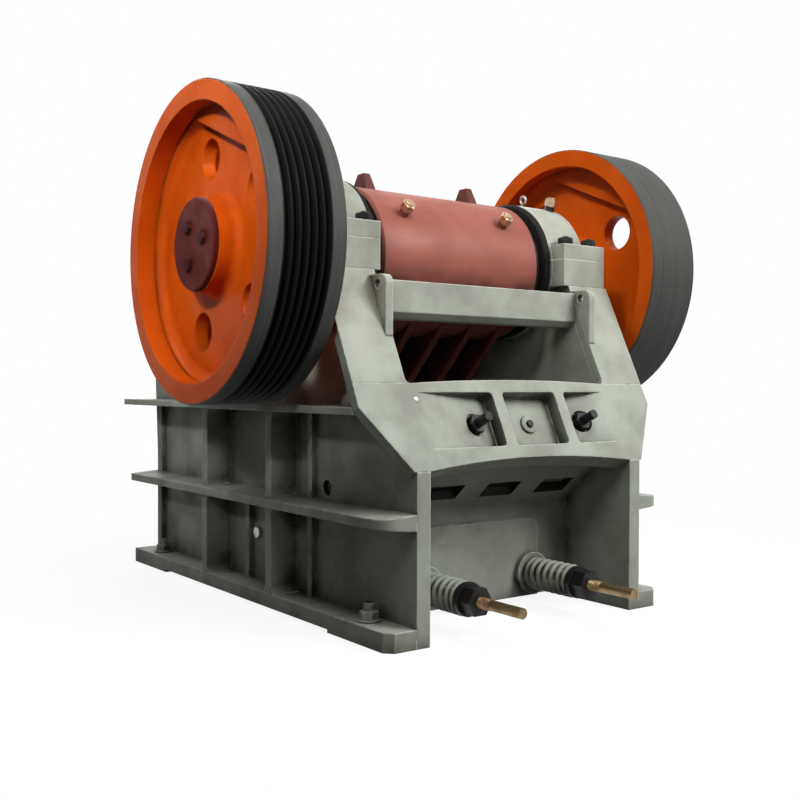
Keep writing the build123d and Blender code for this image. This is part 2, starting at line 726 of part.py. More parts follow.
def spring():
    """Right spring: a wire wound in even steps round the rod, between its seat and its cap."""
    height = SPRING_LENGTH - 2 * SPRING_WIRE_R
    steps = SPRING_TURNS * SPRING_STEPS
    points = []
    for number in range(steps + 1):
        angle = 2 * pi * number / SPRING_STEPS
        points.append((SPRING_R * cos(angle), SPRING_R * sin(angle), height * number / steps))
    path = Polyline(*points)
    section = Plane(origin=points[0], z_dir=path % 0) * RegularPolygon(SPRING_WIRE_R, SPRING_WIRE_SIDES)
    coil = sweep(section, path, transition=Transition.RIGHT)
    return Pos(ROD_X, SPRING_START_Y - SPRING_WIRE_R, ROD_Z) * Rot(90, 0, 0) * coil


def spring_cap():
    """Washer and nut that hold the right spring on its rod."""
    end_y = SPRING_START_Y - SPRING_LENGTH
    washer = y_cylinder(SPRING_CAP_R, end_y - SPRING_CAP_T, end_y, ROD_X, ROD_Z)
    nut = extrude(RegularPolygon(ROD_NUT_R, 6), ROD_NUT_T)
    nut = Pos(ROD_X, end_y - SPRING_CAP_T, ROD_Z) * Rot(90, 0, 0) * nut
    bore = y_cylinder(ROD_R, end_y - SPRING_CAP_T - 2 * ROD_NUT_T, end_y + ROD_NUT_T, ROD_X, ROD_Z)
    return washer + nut - bore


# Bearing housings


def journal_bore():
    """Bore of the right housing round the main journal."""
    return x_cylinder(JOURNAL_R + RUNNING_CLEARANCE, 0, WHEEL_OUT_X)


def bearing_seat():
    """Lower half of the right bearing housing, on top of the side wall."""
    block = box_between(
        (SEAT_IN_X, -SEAT_HALF_LENGTH, WALL_TOP_Z),
        (SEAT_OUT_X, SEAT_HALF_LENGTH, SPLIT_Z),
    )
    above = box_between(
        (0, -2 * HOUSING_R, SPLIT_Z),
        (WHEEL_OUT_X, 2 * HOUSING_R, SPLIT_Z + 2 * HOUSING_R),
    )
    barrel = x_cylinder(HOUSING_R, HOUSING_IN_X, WALL_IN_X) - above
    spigot_space = box_between(
        (0, -SPIGOT_HALF_WIDTH, SHAFT_Z),
        (WHEEL_OUT_X, SPIGOT_HALF_WIDTH, SPLIT_Z),
    )
    return block + barrel - spigot_space - journal_bore()


def bearing_cap():
    """Upper half of the right bearing housing: a half barrel on two feet, with a spigot between the seat's shoulders."""
    above = box_between(
        (HOUSING_IN_X, -2 * HOUSING_R, SPLIT_Z),
        (HOUSING_OUT_X, 2 * HOUSING_R, SPLIT_Z + 2 * HOUSING_R),
    )
    barrel = x_cylinder(HOUSING_R, HOUSING_IN_X, HOUSING_OUT_X)
    barrel = chamfer(barrel.edges().filter_by(GeomType.CIRCLE), HOUSING_CHAMFER) & above
    spigot = box_between(
        (HOUSING_IN_X, -SPIGOT_HALF_WIDTH, SHAFT_Z),
        (SEAT_OUT_X, SPIGOT_HALF_WIDTH, SPLIT_Z),
    )
    feet = box_between(
        (SEAT_IN_X, -SEAT_HALF_LENGTH, SPLIT_Z),
        (SEAT_OUT_X, SEAT_HALF_LENGTH, SPLIT_Z + CAP_FOOT_T),
    )
    return fuse([barrel, spigot, feet]) - journal_bore()


# Eccentric shaft and wheels


def eccentric_shaft():
    """Shaft with two main journals and an eccentric length inside the jaw."""
    half = TUBE_LENGTH / 2
    pieces = [x_cylinder(ECCENTRIC_R, -half, half, ECCENTRIC_Y, SHAFT_Z + ECCENTRIC_Z)]
    for side in (-1, 1):
        for radius, start, end in (
            (JOURNAL_R, half, HUB_IN_X),
            (WHEEL_SEAT_R, HUB_IN_X, HUB_OUT_X),
        ):
            low, high = sorted((side * start, side * end))
            pieces.append(x_cylinder(radius, low, high))
    return fuse(pieces)


def on_shaft(blank):
    """Turn a wheel drawn round Z, with its inner rim face at height 0, onto the right end of the shaft."""
    return Pos(WHEEL_IN_X, 0, SHAFT_Z) * Rot(0, 90, 0) * Rot(0, 0, 270 - COUNTERWEIGHT_ANGLE) * blank


def groove_points():
    """Outline of the belt grooves across the pulley's rim."""
    points = []
    first = (WHEEL_WIDTH - PULLEY_EXTRA_WIDTH) / 2 - GROOVE_PITCH * (GROOVES - 1) / 2
    for number in range(GROOVES):
        middle = first + number * GROOVE_PITCH
        points += [
            (WHEEL_R, middle - GROOVE_TOP / 2),
            (WHEEL_R - GROOVE_DEPTH, middle - GROOVE_BOTTOM / 2),
            (WHEEL_R - GROOVE_DEPTH, middle + GROOVE_BOTTOM / 2),
            (WHEEL_R, middle + GROOVE_TOP / 2),
        ]
    return points


def wheel_rim(inner_z, belt_grooves):
    """Rim of a right wheel from the height of its inner face, with the grooves' outline in its tread if it has any."""
    outline = [(RIM_IN_R, inner_z), (WHEEL_R - RIM_CHAMFER, inner_z), (WHEEL_R, inner_z + RIM_CHAMFER)]
    outline += belt_grooves
    outline += [
        (WHEEL_R, WHEEL_WIDTH - RIM_CHAMFER),
        (WHEEL_R - RIM_CHAMFER, WHEEL_WIDTH),
        (RIM_IN_R, WHEEL_WIDTH),
    ]
    section = make_face(Polyline(*outline, close=True))
    return on_shaft(revolve(Plane.XZ * section, Axis.Z))


def counterweight():
    """Segment inside the rim, on the +X side of the blank."""
    depth = WHEEL_WIDTH - 2 * COUNTERWEIGHT_RECESS
    disc = Cylinder(RIM_IN_R, depth, align=(Align.CENTER, Align.CENTER, Align.MIN))
    beyond = Box(2 * WHEEL_R, 2 * WHEEL_R, 3 * WHEEL_WIDTH, align=(Align.MIN, Align.CENTER, Align.CENTER))
    return Pos(0, 0, COUNTERWEIGHT_RECESS) * disc & Pos(COUNTERWEIGHT_CHORD, 0, 0) * beyond


def wheel_web(holes, first_hole):
    """Hub, holed web and counterweight inside the rim of a right wheel."""
    web_out = WHEEL_WIDTH - WEB_RECESS
    web_in = web_out - WEB_T
    hub_out = WHEEL_WIDTH - HUB_RECESS
    flare_r = RIM_IN_R - WEB_FLARE
    bend = WEB_FLARE * (1 - cos(radians(45)))
    profile = Polyline(
        (flare_r, web_in),
        (HUB_R, web_in),
        (HUB_R, -HUB_PROUD),
        (WHEEL_SEAT_R, -HUB_PROUD),
        (WHEEL_SEAT_R, hub_out),
        (HUB_R, hub_out),
        (HUB_R, web_out),
        (flare_r, web_out),
    )
    low, high = (RIM_IN_R, web_in - WEB_FLARE), (RIM_IN_R, web_out + WEB_FLARE)
    inner_flare = ThreePointArc(low, (RIM_IN_R - bend, web_in - bend), (flare_r, web_in))
    outer_flare = ThreePointArc((flare_r, web_out), (RIM_IN_R - bend, web_out + bend), high)
    section = make_face([profile, inner_flare, Line(low, high), outer_flare])
    roots = [v for v in section.vertices() if v.X == HUB_R and v.Y in (web_in, web_out)]
    blank = revolve(Plane.XZ * fillet(roots, HUB_FILLET), Axis.Z)
    for number in range(holes):
        angle = COUNTERWEIGHT_ANGLE - first_hole - number * 360 / holes
        blank = blank - Rot(0, 0, angle) * Pos(WEB_HOLE_CIRCLE_R, 0, 0) * Cylinder(WEB_HOLE_R, 3 * WHEEL_WIDTH)
    return on_shaft(blank + counterweight())


def hub_cover():
    """Round cover on the end of the right hub."""
    cover = x_cylinder(HUB_COVER_R, HUB_OUT_X, HUB_OUT_X + HUB_COVER_T)
    return chamfer(cover.edges().sort_by(Axis.X)[-1], HUB_COVER_T / 4)


# Moving jaw


def jaw_ribs():
    """Ribs between the tube, the toggle seat and the front of the jaw."""
    angle = radians(JAW_RIB_ANGLE)
    seat_z = TOGGLE_Z - TOGGLE_DROP
    half_seat = JAW_SEAT_HEIGHT / 2
    outline = [
        (0, SHAFT_Z),
        (-TUBE_R * cos(angle), SHAFT_Z - TUBE_R * sin(angle)),
        (TOGGLE_END_Y, seat_z + half_seat),
        (TOGGLE_END_Y, seat_z - half_seat),
        on_jaw(PLATE_T + JAW_FRONT_T / 2, CHAMBER_BOTTOM_Z),
        on_jaw(PLATE_T + JAW_FRONT_T / 2, CHAMBER_TOP_Z),
    ]
    spacing = (JAW_WIDTH - 2 * JAW_RIB_INSET) / (JAW_RIBS - 1)
    ribs = []
    for number in range(JAW_RIBS):
        x = (number - (JAW_RIBS - 1) / 2) * spacing
        ribs.append(side_prism(outline, x - JAW_RIB_T / 2, x + JAW_RIB_T / 2))
    return ribs


def toggle_seat():
    """Cross block of the jaw, in front of the toggle plate."""
    seat_z = TOGGLE_Z - TOGGLE_DROP
    half = JAW_WIDTH / 2
    return box_between(
        (-half, TOGGLE_END_Y - JAW_SEAT_LIP, seat_z - JAW_SEAT_HEIGHT / 2),
        (half, TOGGLE_END_Y - JAW_SEAT_LIP + JAW_SEAT_DEPTH, seat_z + JAW_SEAT_HEIGHT / 2),
    )


def toggle_room():
    """Round groove in the jaw that clears the toggle's front end by the throw and a running gap."""
    radius = TOGGLE_T / 2 + ECCENTRICITY + MOVING_CLEARANCE
    return x_cylinder(radius, -JAW_WIDTH, JAW_WIDTH, TOGGLE_END_Y - TOGGLE_T / 2, TOGGLE_Z - TOGGLE_DROP)


def fork_lugs():
    """Two pairs of lugs under the jaw that carry the rod pins."""
    lug_r = ROD_PIN_R + FORK_WALL
    outline = [
        (ROD_PIN_Y - lug_r, ROD_Z),
        (ROD_PIN_Y + lug_r, ROD_Z),
        on_jaw(PLATE_T + JAW_FRONT_T / 2, CHAMBER_BOTTOM_Z + lug_r),
        on_jaw(PLATE_T + 3 * JAW_FRONT_T, CHAMBER_BOTTOM_Z + 4 * lug_r),
    ]
    lugs = []
    for side in (-1, 1):
        for offset in (-1, 1):
            middle = side * ROD_X + offset * (FORK_GAP + FORK_T) / 2
            low, high = middle - FORK_T / 2, middle + FORK_T / 2
            lugs.append(side_prism(outline, low, high) + x_cylinder(lug_r, low, high, ROD_PIN_Y, ROD_Z))
    return lugs


def rod_pins():
    """The two pins in the fork lugs, one for each tension rod."""
    reach = FORK_GAP / 2 + FORK_T
    return Compound([x_cylinder(ROD_PIN_R, s * ROD_X - reach, s * ROD_X + reach, ROD_PIN_Y, ROD_Z) for s in (-1, 1)])


def lug_outline(middle, length, top_length):
    """Upright outline of a tube lug that narrows from its root to its top."""
    base_z = SHAFT_Z + TUBE_R - TUBE_LUG_ROOT
    top_z = SHAFT_Z + TUBE_R + TUBE_LUG_HEIGHT
    return [
        (middle - length / 2, base_z),
        (middle + length / 2, base_z),
        (middle + top_length / 2, top_z),
        (middle - top_length / 2, top_z),
    ]


def tube_lugs():
    """Two tapered lugs on top of the tube."""
    side_view = lug_outline(TUBE_LUG_Y, TUBE_LUG_LENGTH, TUBE_LUG_TOP_LENGTH)
    lugs = []
    for side in (-1, 1):
        x = side * (TUBE_LENGTH / 2 - TUBE_LUG_FROM_END)
        end_view = lug_outline(x, TUBE_LUG_WIDTH, TUBE_LUG_TOP_WIDTH)
        lug = side_prism(side_view, x - TUBE_LUG_WIDTH, x + TUBE_LUG_WIDTH)
        lugs.append(lug & end_prism(end_view, TUBE_LUG_Y - TUBE_LUG_LENGTH, TUBE_LUG_Y + TUBE_LUG_LENGTH))
    return lugs


def moving_jaw():
    """Moving jaw: the tube round the eccentric, its front, ribs, toggle seat and fork lugs."""
    half = JAW_WIDTH / 2
    tube = x_cylinder(TUBE_R, -TUBE_LENGTH / 2, TUBE_LENGTH / 2)
    tube = chamfer(tube.edges().filter_by(GeomType.CIRCLE), TUBE_CHAMFER)
    front = side_prism(
        [
            on_jaw(PLATE_T, CHAMBER_TOP_Z),
            on_jaw(PLATE_T, CHAMBER_BOTTOM_Z),
            on_jaw(PLATE_T + JAW_FRONT_T, CHAMBER_BOTTOM_Z),
            on_jaw(PLATE_T + JAW_FRONT_T, CHAMBER_TOP_Z),
        ],
        -half,
        half,
    )
    angle = radians(SHOULDER_ANGLE)
    shoulder = side_prism(
        [
            (TUBE_R * cos(angle), SHAFT_Z + TUBE_R * sin(angle)),
            on_jaw(PLATE_T, CHAMBER_TOP_Z + SHOULDER_RISE),
            on_jaw(PLATE_T, CHAMBER_TOP_Z - SHOULDER_DROP),
            (0, SHAFT_Z),
        ],
        -half,
        half,
    )
    pieces = [tube, front, shoulder, toggle_seat()] + jaw_ribs() + fork_lugs() + tube_lugs()
    bore = x_cylinder(ECCENTRIC_R + RUNNING_CLEARANCE, -TUBE_LENGTH, TUBE_LENGTH)
    pin_holes = x_cylinder(ROD_PIN_R, -TUBE_LENGTH, TUBE_LENGTH, ROD_PIN_Y, ROD_Z)
    return fuse(pieces) - bore - pin_holes - toggle_room()


def seal_ring():
    """Right seal ring on the end of the jaw's tube."""
    start = TUBE_LENGTH / 2
    ring = x_cylinder(TUBE_R - SEAL_SETBACK, start, start + SEAL_T)
    return ring - x_cylinder(JOURNAL_R + ECCENTRICITY + SEAL_SHAFT_GAP, start - SEAL_T, start + 2 * SEAL_T)


# Crushing chamber


def toothed_plate(length):
    """Jaw plate with upright teeth on one face: X across, Y out of the face, Z along the plate."""
    count = int(PLATE_WIDTH // TOOTH_PITCH)
    first = -count * TOOTH_PITCH / 2
    flank = (TOOTH_PITCH - 2 * TOOTH_LAND) / 2
    points = [(-PLATE_WIDTH / 2, -PLATE_T), (-PLATE_WIDTH / 2, -TOOTH_DEPTH)]
    for number in range(count):
        foot = first + number * TOOTH_PITCH + TOOTH_LAND / 2
        points += [
            (foot, -TOOTH_DEPTH),
            (foot + flank, 0),
            (foot + flank + TOOTH_LAND, 0),
            (foot + 2 * flank + TOOTH_LAND, -TOOTH_DEPTH),
        ]
    points += [(PLATE_WIDTH / 2, -TOOTH_DEPTH), (PLATE_WIDTH / 2, -PLATE_T)]
    return extrude(make_face(Polyline(*points, close=True)), length)


def moving_jaw_plate():
    """Toothed plate on the front of the moving jaw."""
    length = (CHAMBER_TOP_Z - CHAMBER_BOTTOM_Z) / cos(radians(MOVING_LEAN))
    foot_y = moving_face_y(CHAMBER_BOTTOM_Z)
    return Pos(0, foot_y, CHAMBER_BOTTOM_Z) * Rot(MOVING_LEAN, 0, 0) * toothed_plate(length)


def fixed_jaw_plate():
    """Toothed plate on the front wall."""
    length = (CHAMBER_TOP_Z - CHAMBER_BOTTOM_Z) / cos(radians(FRONT_LEAN))
    plate = Rot(0, 0, 180) * toothed_plate(length)
    foot_y = FIXED_FACE_Y - FRONT_SLOPE * (CHAMBER_TOP_Z - CHAMBER_BOTTOM_Z)
    return Pos(0, foot_y, CHAMBER_BOTTOM_Z) * Rot(-FRONT_LEAN, 0, 0) * plate


def cheek_plate():
    """Right wear plate on the side of the crushing chamber."""
    return side_prism(chamber_outline(PLATE_T), CHEEK_IN_X, CHEEK_OUT_X)


# Front wall


def front_wall():
    """Leaning front wall between the side walls."""
    outline = [
        (front_wall_y(0), 0),
        (front_wall_y(0) + FRONT_WALL_T, 0),
        (front_wall_y(WALL_TOP_Z) + FRONT_WALL_T, WALL_TOP_Z),
        (front_wall_y(WALL_TOP_Z), WALL_TOP_Z),
    ]
    return side_prism(outline, -WALL_IN_X, WALL_IN_X)


def front_levels():
    """Lowest and highest Z of each flange across the front wall."""
    tops = (FOOT_TOP_Z, MID_FLANGE_TOP_Z, TOP_FLANGE_TOP_Z, WALL_TOP_Z)
    return [(top - FRONT_FLANGE_T, top) for top in tops]


def front_slice(low_z, high_z, x_start, x_end):
    """Block on the outside of the front wall, out to the front edge of the side walls."""
    outline = [
        (front_wall_y(low_z) + FRONT_WALL_T, low_z),
        (front_edge_y(low_z), low_z),
        (front_edge_y(high_z), high_z),
        (front_wall_y(high_z) + FRONT_WALL_T, high_z),
    ]
    return side_prism(outline, x_start, x_end)


def front_flanges():
    """Flanges across the front wall."""
    return Compound([front_slice(low_z, high_z, -WALL_IN_X, WALL_IN_X) for low_z, high_z in front_levels()])


def front_ribs():
    """Upright ribs on the front wall, between its flanges."""
    levels = front_levels()
    ribs = []
    for below, over in zip(levels, levels[1:]):
        for side in (-1, 1):
            x = side * FRONT_RIB_SPACING / 2
            ribs.append(front_slice(below[1], over[0], x - RIB_T / 2, x + RIB_T / 2))
    return Compound(ribs)


def write_frame():
    write_pair("side_wall", side_wall())
    write_pair("flanges", Compound([foot(), middle_flange(), top_flange()]))
    write_pair("wall_ribs", wall_ribs())
    write_pair("leg", leg())
    write_pair("lifting_ear", ear())
    write_pair("bearing_seat", bearing_seat())
    write_pair("bearing_cap", bearing_cap())
    write_pair("cheek_plate", cheek_plate())
    write("right_adjusting_stud", adjusting_stud(BEAM_OFFSET_X + STUD_X))
    write("left_adjusting_stud", adjusting_stud(BEAM_OFFSET_X - STUD_X))
    write_pair("tension_rod", tension_rod())
    write_pair("spring_seat", spring_seat())
    write_pair("spring", spring())
    write_pair("spring_cap", spring_cap())
    write("front_wall", front_wall())
    write("front_flanges", front_flanges())
    write("front_ribs", front_ribs())
    write("rear_beam", rear_beam())
    write("rear_wall", rear_wall())
    write("cross_bar", cross_bar())
    write("adjusting_block", adjusting_block())
    write("toggle_plate", toggle_plate())
    write("fixed_jaw_plate", fixed_jaw_plate())


def write_rotor():
    write("eccentric_shaft", eccentric_shaft())
    write("pulley_rim", mirror(wheel_rim(-PULLEY_EXTRA_WIDTH, groove_points()), Plane.YZ))
    write("pulley_web", mirror(wheel_web(PULLEY_HOLES, PULLEY_HOLE_FIRST), Plane.YZ))
    write("flywheel_rim", wheel_rim(0, []))
    write("flywheel_web", wheel_web(FLYWHEEL_HOLES, FLYWHEEL_HOLE_FIRST))
    write_pair("hub_cover", hub_cover())


def write_jaw():
    throw = Pos(0, ECCENTRIC_Y, ECCENTRIC_Z)
    write("moving_jaw", throw * moving_jaw())
    write("moving_jaw_plate", throw * moving_jaw_plate())
    write("rod_pins", throw * rod_pins())
    write_pair("seal_ring", throw * seal_ring())


write_frame()
write_rotor()
write_jaw()
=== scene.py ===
"""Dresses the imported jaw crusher: cast paint, turned rims, springs, threads and fasteners, on a pale floor."""

import json
import math

import bmesh
import bpy
import numpy as np
from mathutils import Matrix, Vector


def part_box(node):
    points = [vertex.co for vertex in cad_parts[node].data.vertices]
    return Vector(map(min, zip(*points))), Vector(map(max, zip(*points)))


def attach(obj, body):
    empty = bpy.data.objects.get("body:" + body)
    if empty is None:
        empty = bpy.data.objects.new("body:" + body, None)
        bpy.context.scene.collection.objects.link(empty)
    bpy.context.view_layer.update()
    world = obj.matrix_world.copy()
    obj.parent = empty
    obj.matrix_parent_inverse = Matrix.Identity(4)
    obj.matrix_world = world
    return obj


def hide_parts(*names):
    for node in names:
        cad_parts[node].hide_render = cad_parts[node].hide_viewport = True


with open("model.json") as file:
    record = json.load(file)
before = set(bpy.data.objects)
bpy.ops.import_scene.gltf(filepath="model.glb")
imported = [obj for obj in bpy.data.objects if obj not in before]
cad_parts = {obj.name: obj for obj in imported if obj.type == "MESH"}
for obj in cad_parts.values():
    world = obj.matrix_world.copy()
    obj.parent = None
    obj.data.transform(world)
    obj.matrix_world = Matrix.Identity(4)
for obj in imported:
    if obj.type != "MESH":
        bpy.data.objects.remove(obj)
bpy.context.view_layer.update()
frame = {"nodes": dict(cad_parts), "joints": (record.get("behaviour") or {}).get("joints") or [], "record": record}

bl_info = {
    "name": "Jaw Crusher Dressing",
    "version": (1, 0, 0),
    "blender": (4, 5, 0),
    "location": "View3D > Sidebar > Crusher",
    "description": "Paint, springs, threads and fasteners for a single-toggle jaw crusher",
    "category": "Object",
}

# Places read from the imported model, in metres
JOINTS = {joint["name"]: joint for joint in frame["joints"]}
SHAFT_AT = np.array(JOINTS["shaft_spin"]["pos_m"])
JAW_AT = np.array(JOINTS["jaw_on_eccentric"]["pos_m"])
NODE_SLOT = {part["node"]: part["material_slot"] for part in frame["record"]["subparts"]}
BOX = {node: tuple(np.array(corner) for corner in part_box(node)) for node in frame["nodes"]}
AXES = {"X": np.array([1.0, 0, 0]), "Y": np.array([0, 1.0, 0]), "Z": np.array([0, 0, 1.0])}
SIDES = (("left", -1.0), ("right", 1.0))

# The three slots in the rear wall's slope, in metres: along X, then along Y with the distance from the shaft.
SLOT_MIDDLE_X, SLOT_SPACING, SLOT_WIDTH = 0.055, 0.24, 0.14
SLOT_LENGTH, SLOT_BEHIND_SHAFT = 0.055, 0.3572


class PaintSettings(bpy.types.PropertyGroup):
    """Colours of the machine's finishes."""

    frame_green: bpy.props.FloatVectorProperty(
        name="Frame Enamel", description="Pale grey-green enamel of the castings", subtype="COLOR", size=3,
        min=0.0, max=1.0, default=(0.452, 0.485, 0.412))
    frame_shade: bpy.props.FloatVectorProperty(
        name="Frame Shade", description="Darker patches in the frame's enamel", subtype="COLOR", size=3,
        min=0.0, max=1.0, default=(0.33, 0.345, 0.29))
    # Corner colour: painted shade with oil and dirt in corners and recesses
    grime_and_shade: bpy.props.FloatVectorProperty(
        name="Grime and Shade", description="Oil and dirt that gathers in corners", subtype="COLOR", size=3,
        min=0.0, max=1.0, default=(0.045, 0.042, 0.036))
    # Edge colour: worn paint, made whiter as a painted highlight on rounded edges
    worn_edge_and_highlight: bpy.props.FloatVectorProperty(
        name="Worn Edge", description="Primer and iron that show through at worn edges", subtype="COLOR", size=3,
        min=0.0, max=1.0, default=(0.74, 0.76, 0.69))
    wheel_orange: bpy.props.FloatVectorProperty(
        name="Wheel Enamel", description="Orange enamel of the pulley and the flywheel", subtype="COLOR", size=3,
        min=0.0, max=1.0, default=(0.74, 0.112, 0.006))
    wheel_shade: bpy.props.FloatVectorProperty(
        name="Wheel Shade", description="Deeper patches in the wheels' enamel", subtype="COLOR", size=3,
        min=0.0, max=1.0, default=(0.64, 0.088, 0.004))
    rim_iron: bpy.props.FloatVectorProperty(
        name="Turned Rim", description="Bare turned iron of the wheels' treads", subtype="COLOR", size=3,
        min=0.0, max=1.0, default=(0.066, 0.066, 0.062))
    groove_black: bpy.props.FloatVectorProperty(
        name="Belt Grooves", description="Belt black in the pulley's grooves", subtype="COLOR", size=3,
        min=0.0, max=1.0, default=(0.012, 0.011, 0.012))
    cover_red: bpy.props.FloatVectorProperty(
        name="Cover Red", description="Dark red of the hub covers", subtype="COLOR", size=3,
        min=0.0, max=1.0, default=(0.115, 0.016, 0.013))
    jaw_red: bpy.props.FloatVectorProperty(
        name="Jaw Primer", description="Oxide red primer of the moving jaw", subtype="COLOR", size=3,
        min=0.0, max=1.0, default=(0.34, 0.105, 0.08))
    # Colour of painted shade on the lugs above the tube and on the jaw below it
    jaw_painted_shade: bpy.props.FloatVectorProperty(
        name="Jaw Shade", description="Darker oxide red in patches and on the lugs", subtype="COLOR", size=3,
        min=0.0, max=1.0, default=(0.2, 0.05, 0.04))
    brass: bpy.props.FloatVectorProperty(
        name="Plug Brass", description="Pinkish brass of the plug bolts", subtype="COLOR", size=3,
        min=0.0, max=1.0, default=(0.62, 0.42, 0.27))


class FastenerSettings(bpy.types.PropertyGroup):
    """Sizes of the fasteners and the springs."""

    spring_turns: bpy.props.FloatProperty(
        name="Spring Turns", description="Turns of each tension spring", min=3.0, max=12.0, default=7.0)
    spring_wire: bpy.props.FloatProperty(
        name="Spring Wire", description="Radius of the spring wire", subtype="DISTANCE", unit="LENGTH",
        default=0.0075)
    thread_pitch: bpy.props.FloatProperty(
        name="Rod Thread Pitch", description="Pitch of the tension rods' thread", subtype="DISTANCE", unit="LENGTH",
        default=0.004)
    anchor_across: bpy.props.FloatProperty(
        name="Anchor Nut", description="Width across flats of the foundation nuts", subtype="DISTANCE",
        unit="LENGTH", default=0.05)
    cap_across: bpy.props.FloatProperty(
        name="Cap Nut", description="Width across flats of the bearing cap nuts", subtype="DISTANCE", unit="LENGTH",
        default=0.046)
    cover_across: bpy.props.FloatProperty(
        name="Cover Bolt", description="Width across flats of the hub cover bolts", subtype="DISTANCE",
        unit="LENGTH", default=0.042)
    cover_circle: bpy.props.FloatProperty(
        name="Cover Bolt Circle", description="Radius of the hub cover bolts' circle", subtype="DISTANCE",
        unit="LENGTH", default=0.067)
    plug_across: bpy.props.FloatProperty(
        name="Plug Bolt", description="Width across flats of the tube's plug bolts", subtype="DISTANCE",
        unit="LENGTH", default=0.042)


class StageSettings(bpy.types.PropertyGroup):
    """Camera, lamps and floor."""

    camera_at: bpy.props.FloatVectorProperty(
        name="Camera Place", description="Place of the camera", subtype="XYZ", unit="LENGTH", size=3,
        default=(-2.168, -3.173, 0.741))
    camera_yaw: bpy.props.FloatProperty(
        name="Camera Yaw", description="Turn of the view from +Y towards +X", subtype="ANGLE", unit="ROTATION",
        default=math.radians(36.03))
    camera_pitch: bpy.props.FloatProperty(
        name="Camera Pitch", description="Tilt of the view above the level", subtype="ANGLE", unit="ROTATION",
        default=math.radians(-0.864))
    camera_roll: bpy.props.FloatProperty(
        name="Camera Roll", description="Roll of the view", subtype="ANGLE", unit="ROTATION",
        default=math.radians(0.222))
    lens: bpy.props.FloatProperty(
        name="Lens", description="Focal length on a 36 mm sensor", subtype="DISTANCE_CAMERA", default=45.82)
    key_power: bpy.props.FloatProperty(
        name="Key Lamp", description="Power of the lamp behind the camera's right", subtype="POWER", default=210.0)
    fill_power: bpy.props.FloatProperty(
        name="Fill Lamp", description="Power of the lamp above the camera", subtype="POWER", default=85.0)
    front_power: bpy.props.FloatProperty(
        name="Front Lamp", description="Power of the lamp that lights the feed end", subtype="POWER", default=90.0)
    side_power: bpy.props.FloatProperty(
        name="Side Lamp", description="Power of the lamp high on the left", subtype="POWER", default=50.0)
    face_power: bpy.props.FloatProperty(
        name="Face Lamp", description="Power of the lamp on the pulley's face", subtype="POWER", default=2.9)
    inner_power: bpy.props.FloatProperty(
        name="Inner Lamp", description="Power of the lamp on the flywheel's inner face", subtype="POWER",
        default=1.0)
    floor_grey: bpy.props.FloatVectorProperty(
        name="Floor", description="Floor colour as it lights the machine", subtype="COLOR", size=3,
        min=0.0, max=1.0, default=(0.1, 0.1, 0.1))


# Surfaces worked out as arrays


def grid_faces(rows, columns, wrap, start):
    """Quads of a rows by columns grid, the columns closed into a ring where wrap is true."""
    last = columns if wrap else columns - 1
    row, column = np.meshgrid(np.arange(rows - 1), np.arange(last), indexing="ij")
    after = (column + 1) % columns
    quads = np.stack([row * columns + column, row * columns + after,
                      (row + 1) * columns + after, (row + 1) * columns + column], axis=-1)
    return quads.reshape(-1, 4) + start


def basis(axis):
    """Two unit vectors square to an axis and to each other, as a right-handed set with it."""
    axis = np.asarray(axis, float)
    axis = axis / np.linalg.norm(axis)
    guide = AXES["Z"] if abs(axis[2]) < 0.9 else AXES["X"]
    across = np.cross(guide, axis)
    across = across / np.linalg.norm(across)
    return across, np.cross(axis, across), axis


def placed(radius, height, turn, at, axis):
    """Points at + radius (cos turn across + sin turn up) + height axis, for whole arrays at once."""
    across, up, along = basis(axis)
    return (np.asarray(at) + (radius * np.cos(turn))[..., None] * across
            + (radius * np.sin(turn))[..., None] * up + height[..., None] * along)


def lathe(profile, at, axis, steps=48):
    """Profile of (radius, height) pairs turned once round an axis: p(k, a) = r_k at angle a, h_k along the axis."""
    profile = np.asarray(profile, float)
    turn = np.linspace(0.0, 2.0 * np.pi, steps, endpoint=False)
    radius = np.repeat(profile[:, :1], steps, axis=1)
    height = np.repeat(profile[:, 1:], steps, axis=1)
    return placed(radius, height, np.broadcast_to(turn, radius.shape), at, axis)


def hexagon(turn, across):
    """Radius of a hexagon of a width across flats, at an angle: half the width over the cosine from the flat."""
    from_flat = np.mod(turn + np.pi / 6.0, np.pi / 3.0) - np.pi / 6.0
    return 0.5 * across / np.cos(from_flat)


def hex_body(across, height, at, axis, turned=0.0, bore=0.0):
    """Hexagon prism whose corners fall away by 30 degrees outside a circle on both faces, closed on its axis."""
    turn = np.linspace(0.0, 2.0 * np.pi, 72, endpoint=False)
    outer = hexagon(turn, across)
    flat = np.full_like(turn, 0.475 * across)
    fall = np.maximum(outer - 0.5 * across, 0.0) * math.tan(math.radians(30.0)) + 0.025 * across
    inner = np.full_like(turn, bore)
    level = np.zeros_like(turn)
    radius = np.stack([inner, flat, outer, outer, flat, inner])
    raised = np.stack([level, level, level + fall, level + height - fall, level + height, level + height])
    return placed(radius, raised, np.broadcast_to(turn + turned, radius.shape), at, axis)


def stud_profile(radius, length, tip):
    """Plain round bar with a chamfered end, as (radius, height) pairs from its foot to its tip."""
    return [(0.0, 0.0), (radius, 0.0), (radius, length - tip), (radius - tip, length), (0.0, length)]


def washer_profile(bore, radius, thick):
    """Flat ring with eased edges, as (radius, height) pairs."""
    ease = 0.15 * thick
    return [(bore, 0.0), (radius - ease, 0.0), (radius, ease), (radius, thick - ease), (radius - ease, thick),
            (bore, thick)]


def dome_profile(radius, rise, count=8):
    """Low dome: height = rise cos a over radius sin a, as (radius, height) pairs from its edge to its top."""
    a = np.linspace(0.5 * np.pi, 0.0, count)
    return np.stack([radius * np.sin(a), rise * np.cos(a)], axis=1)


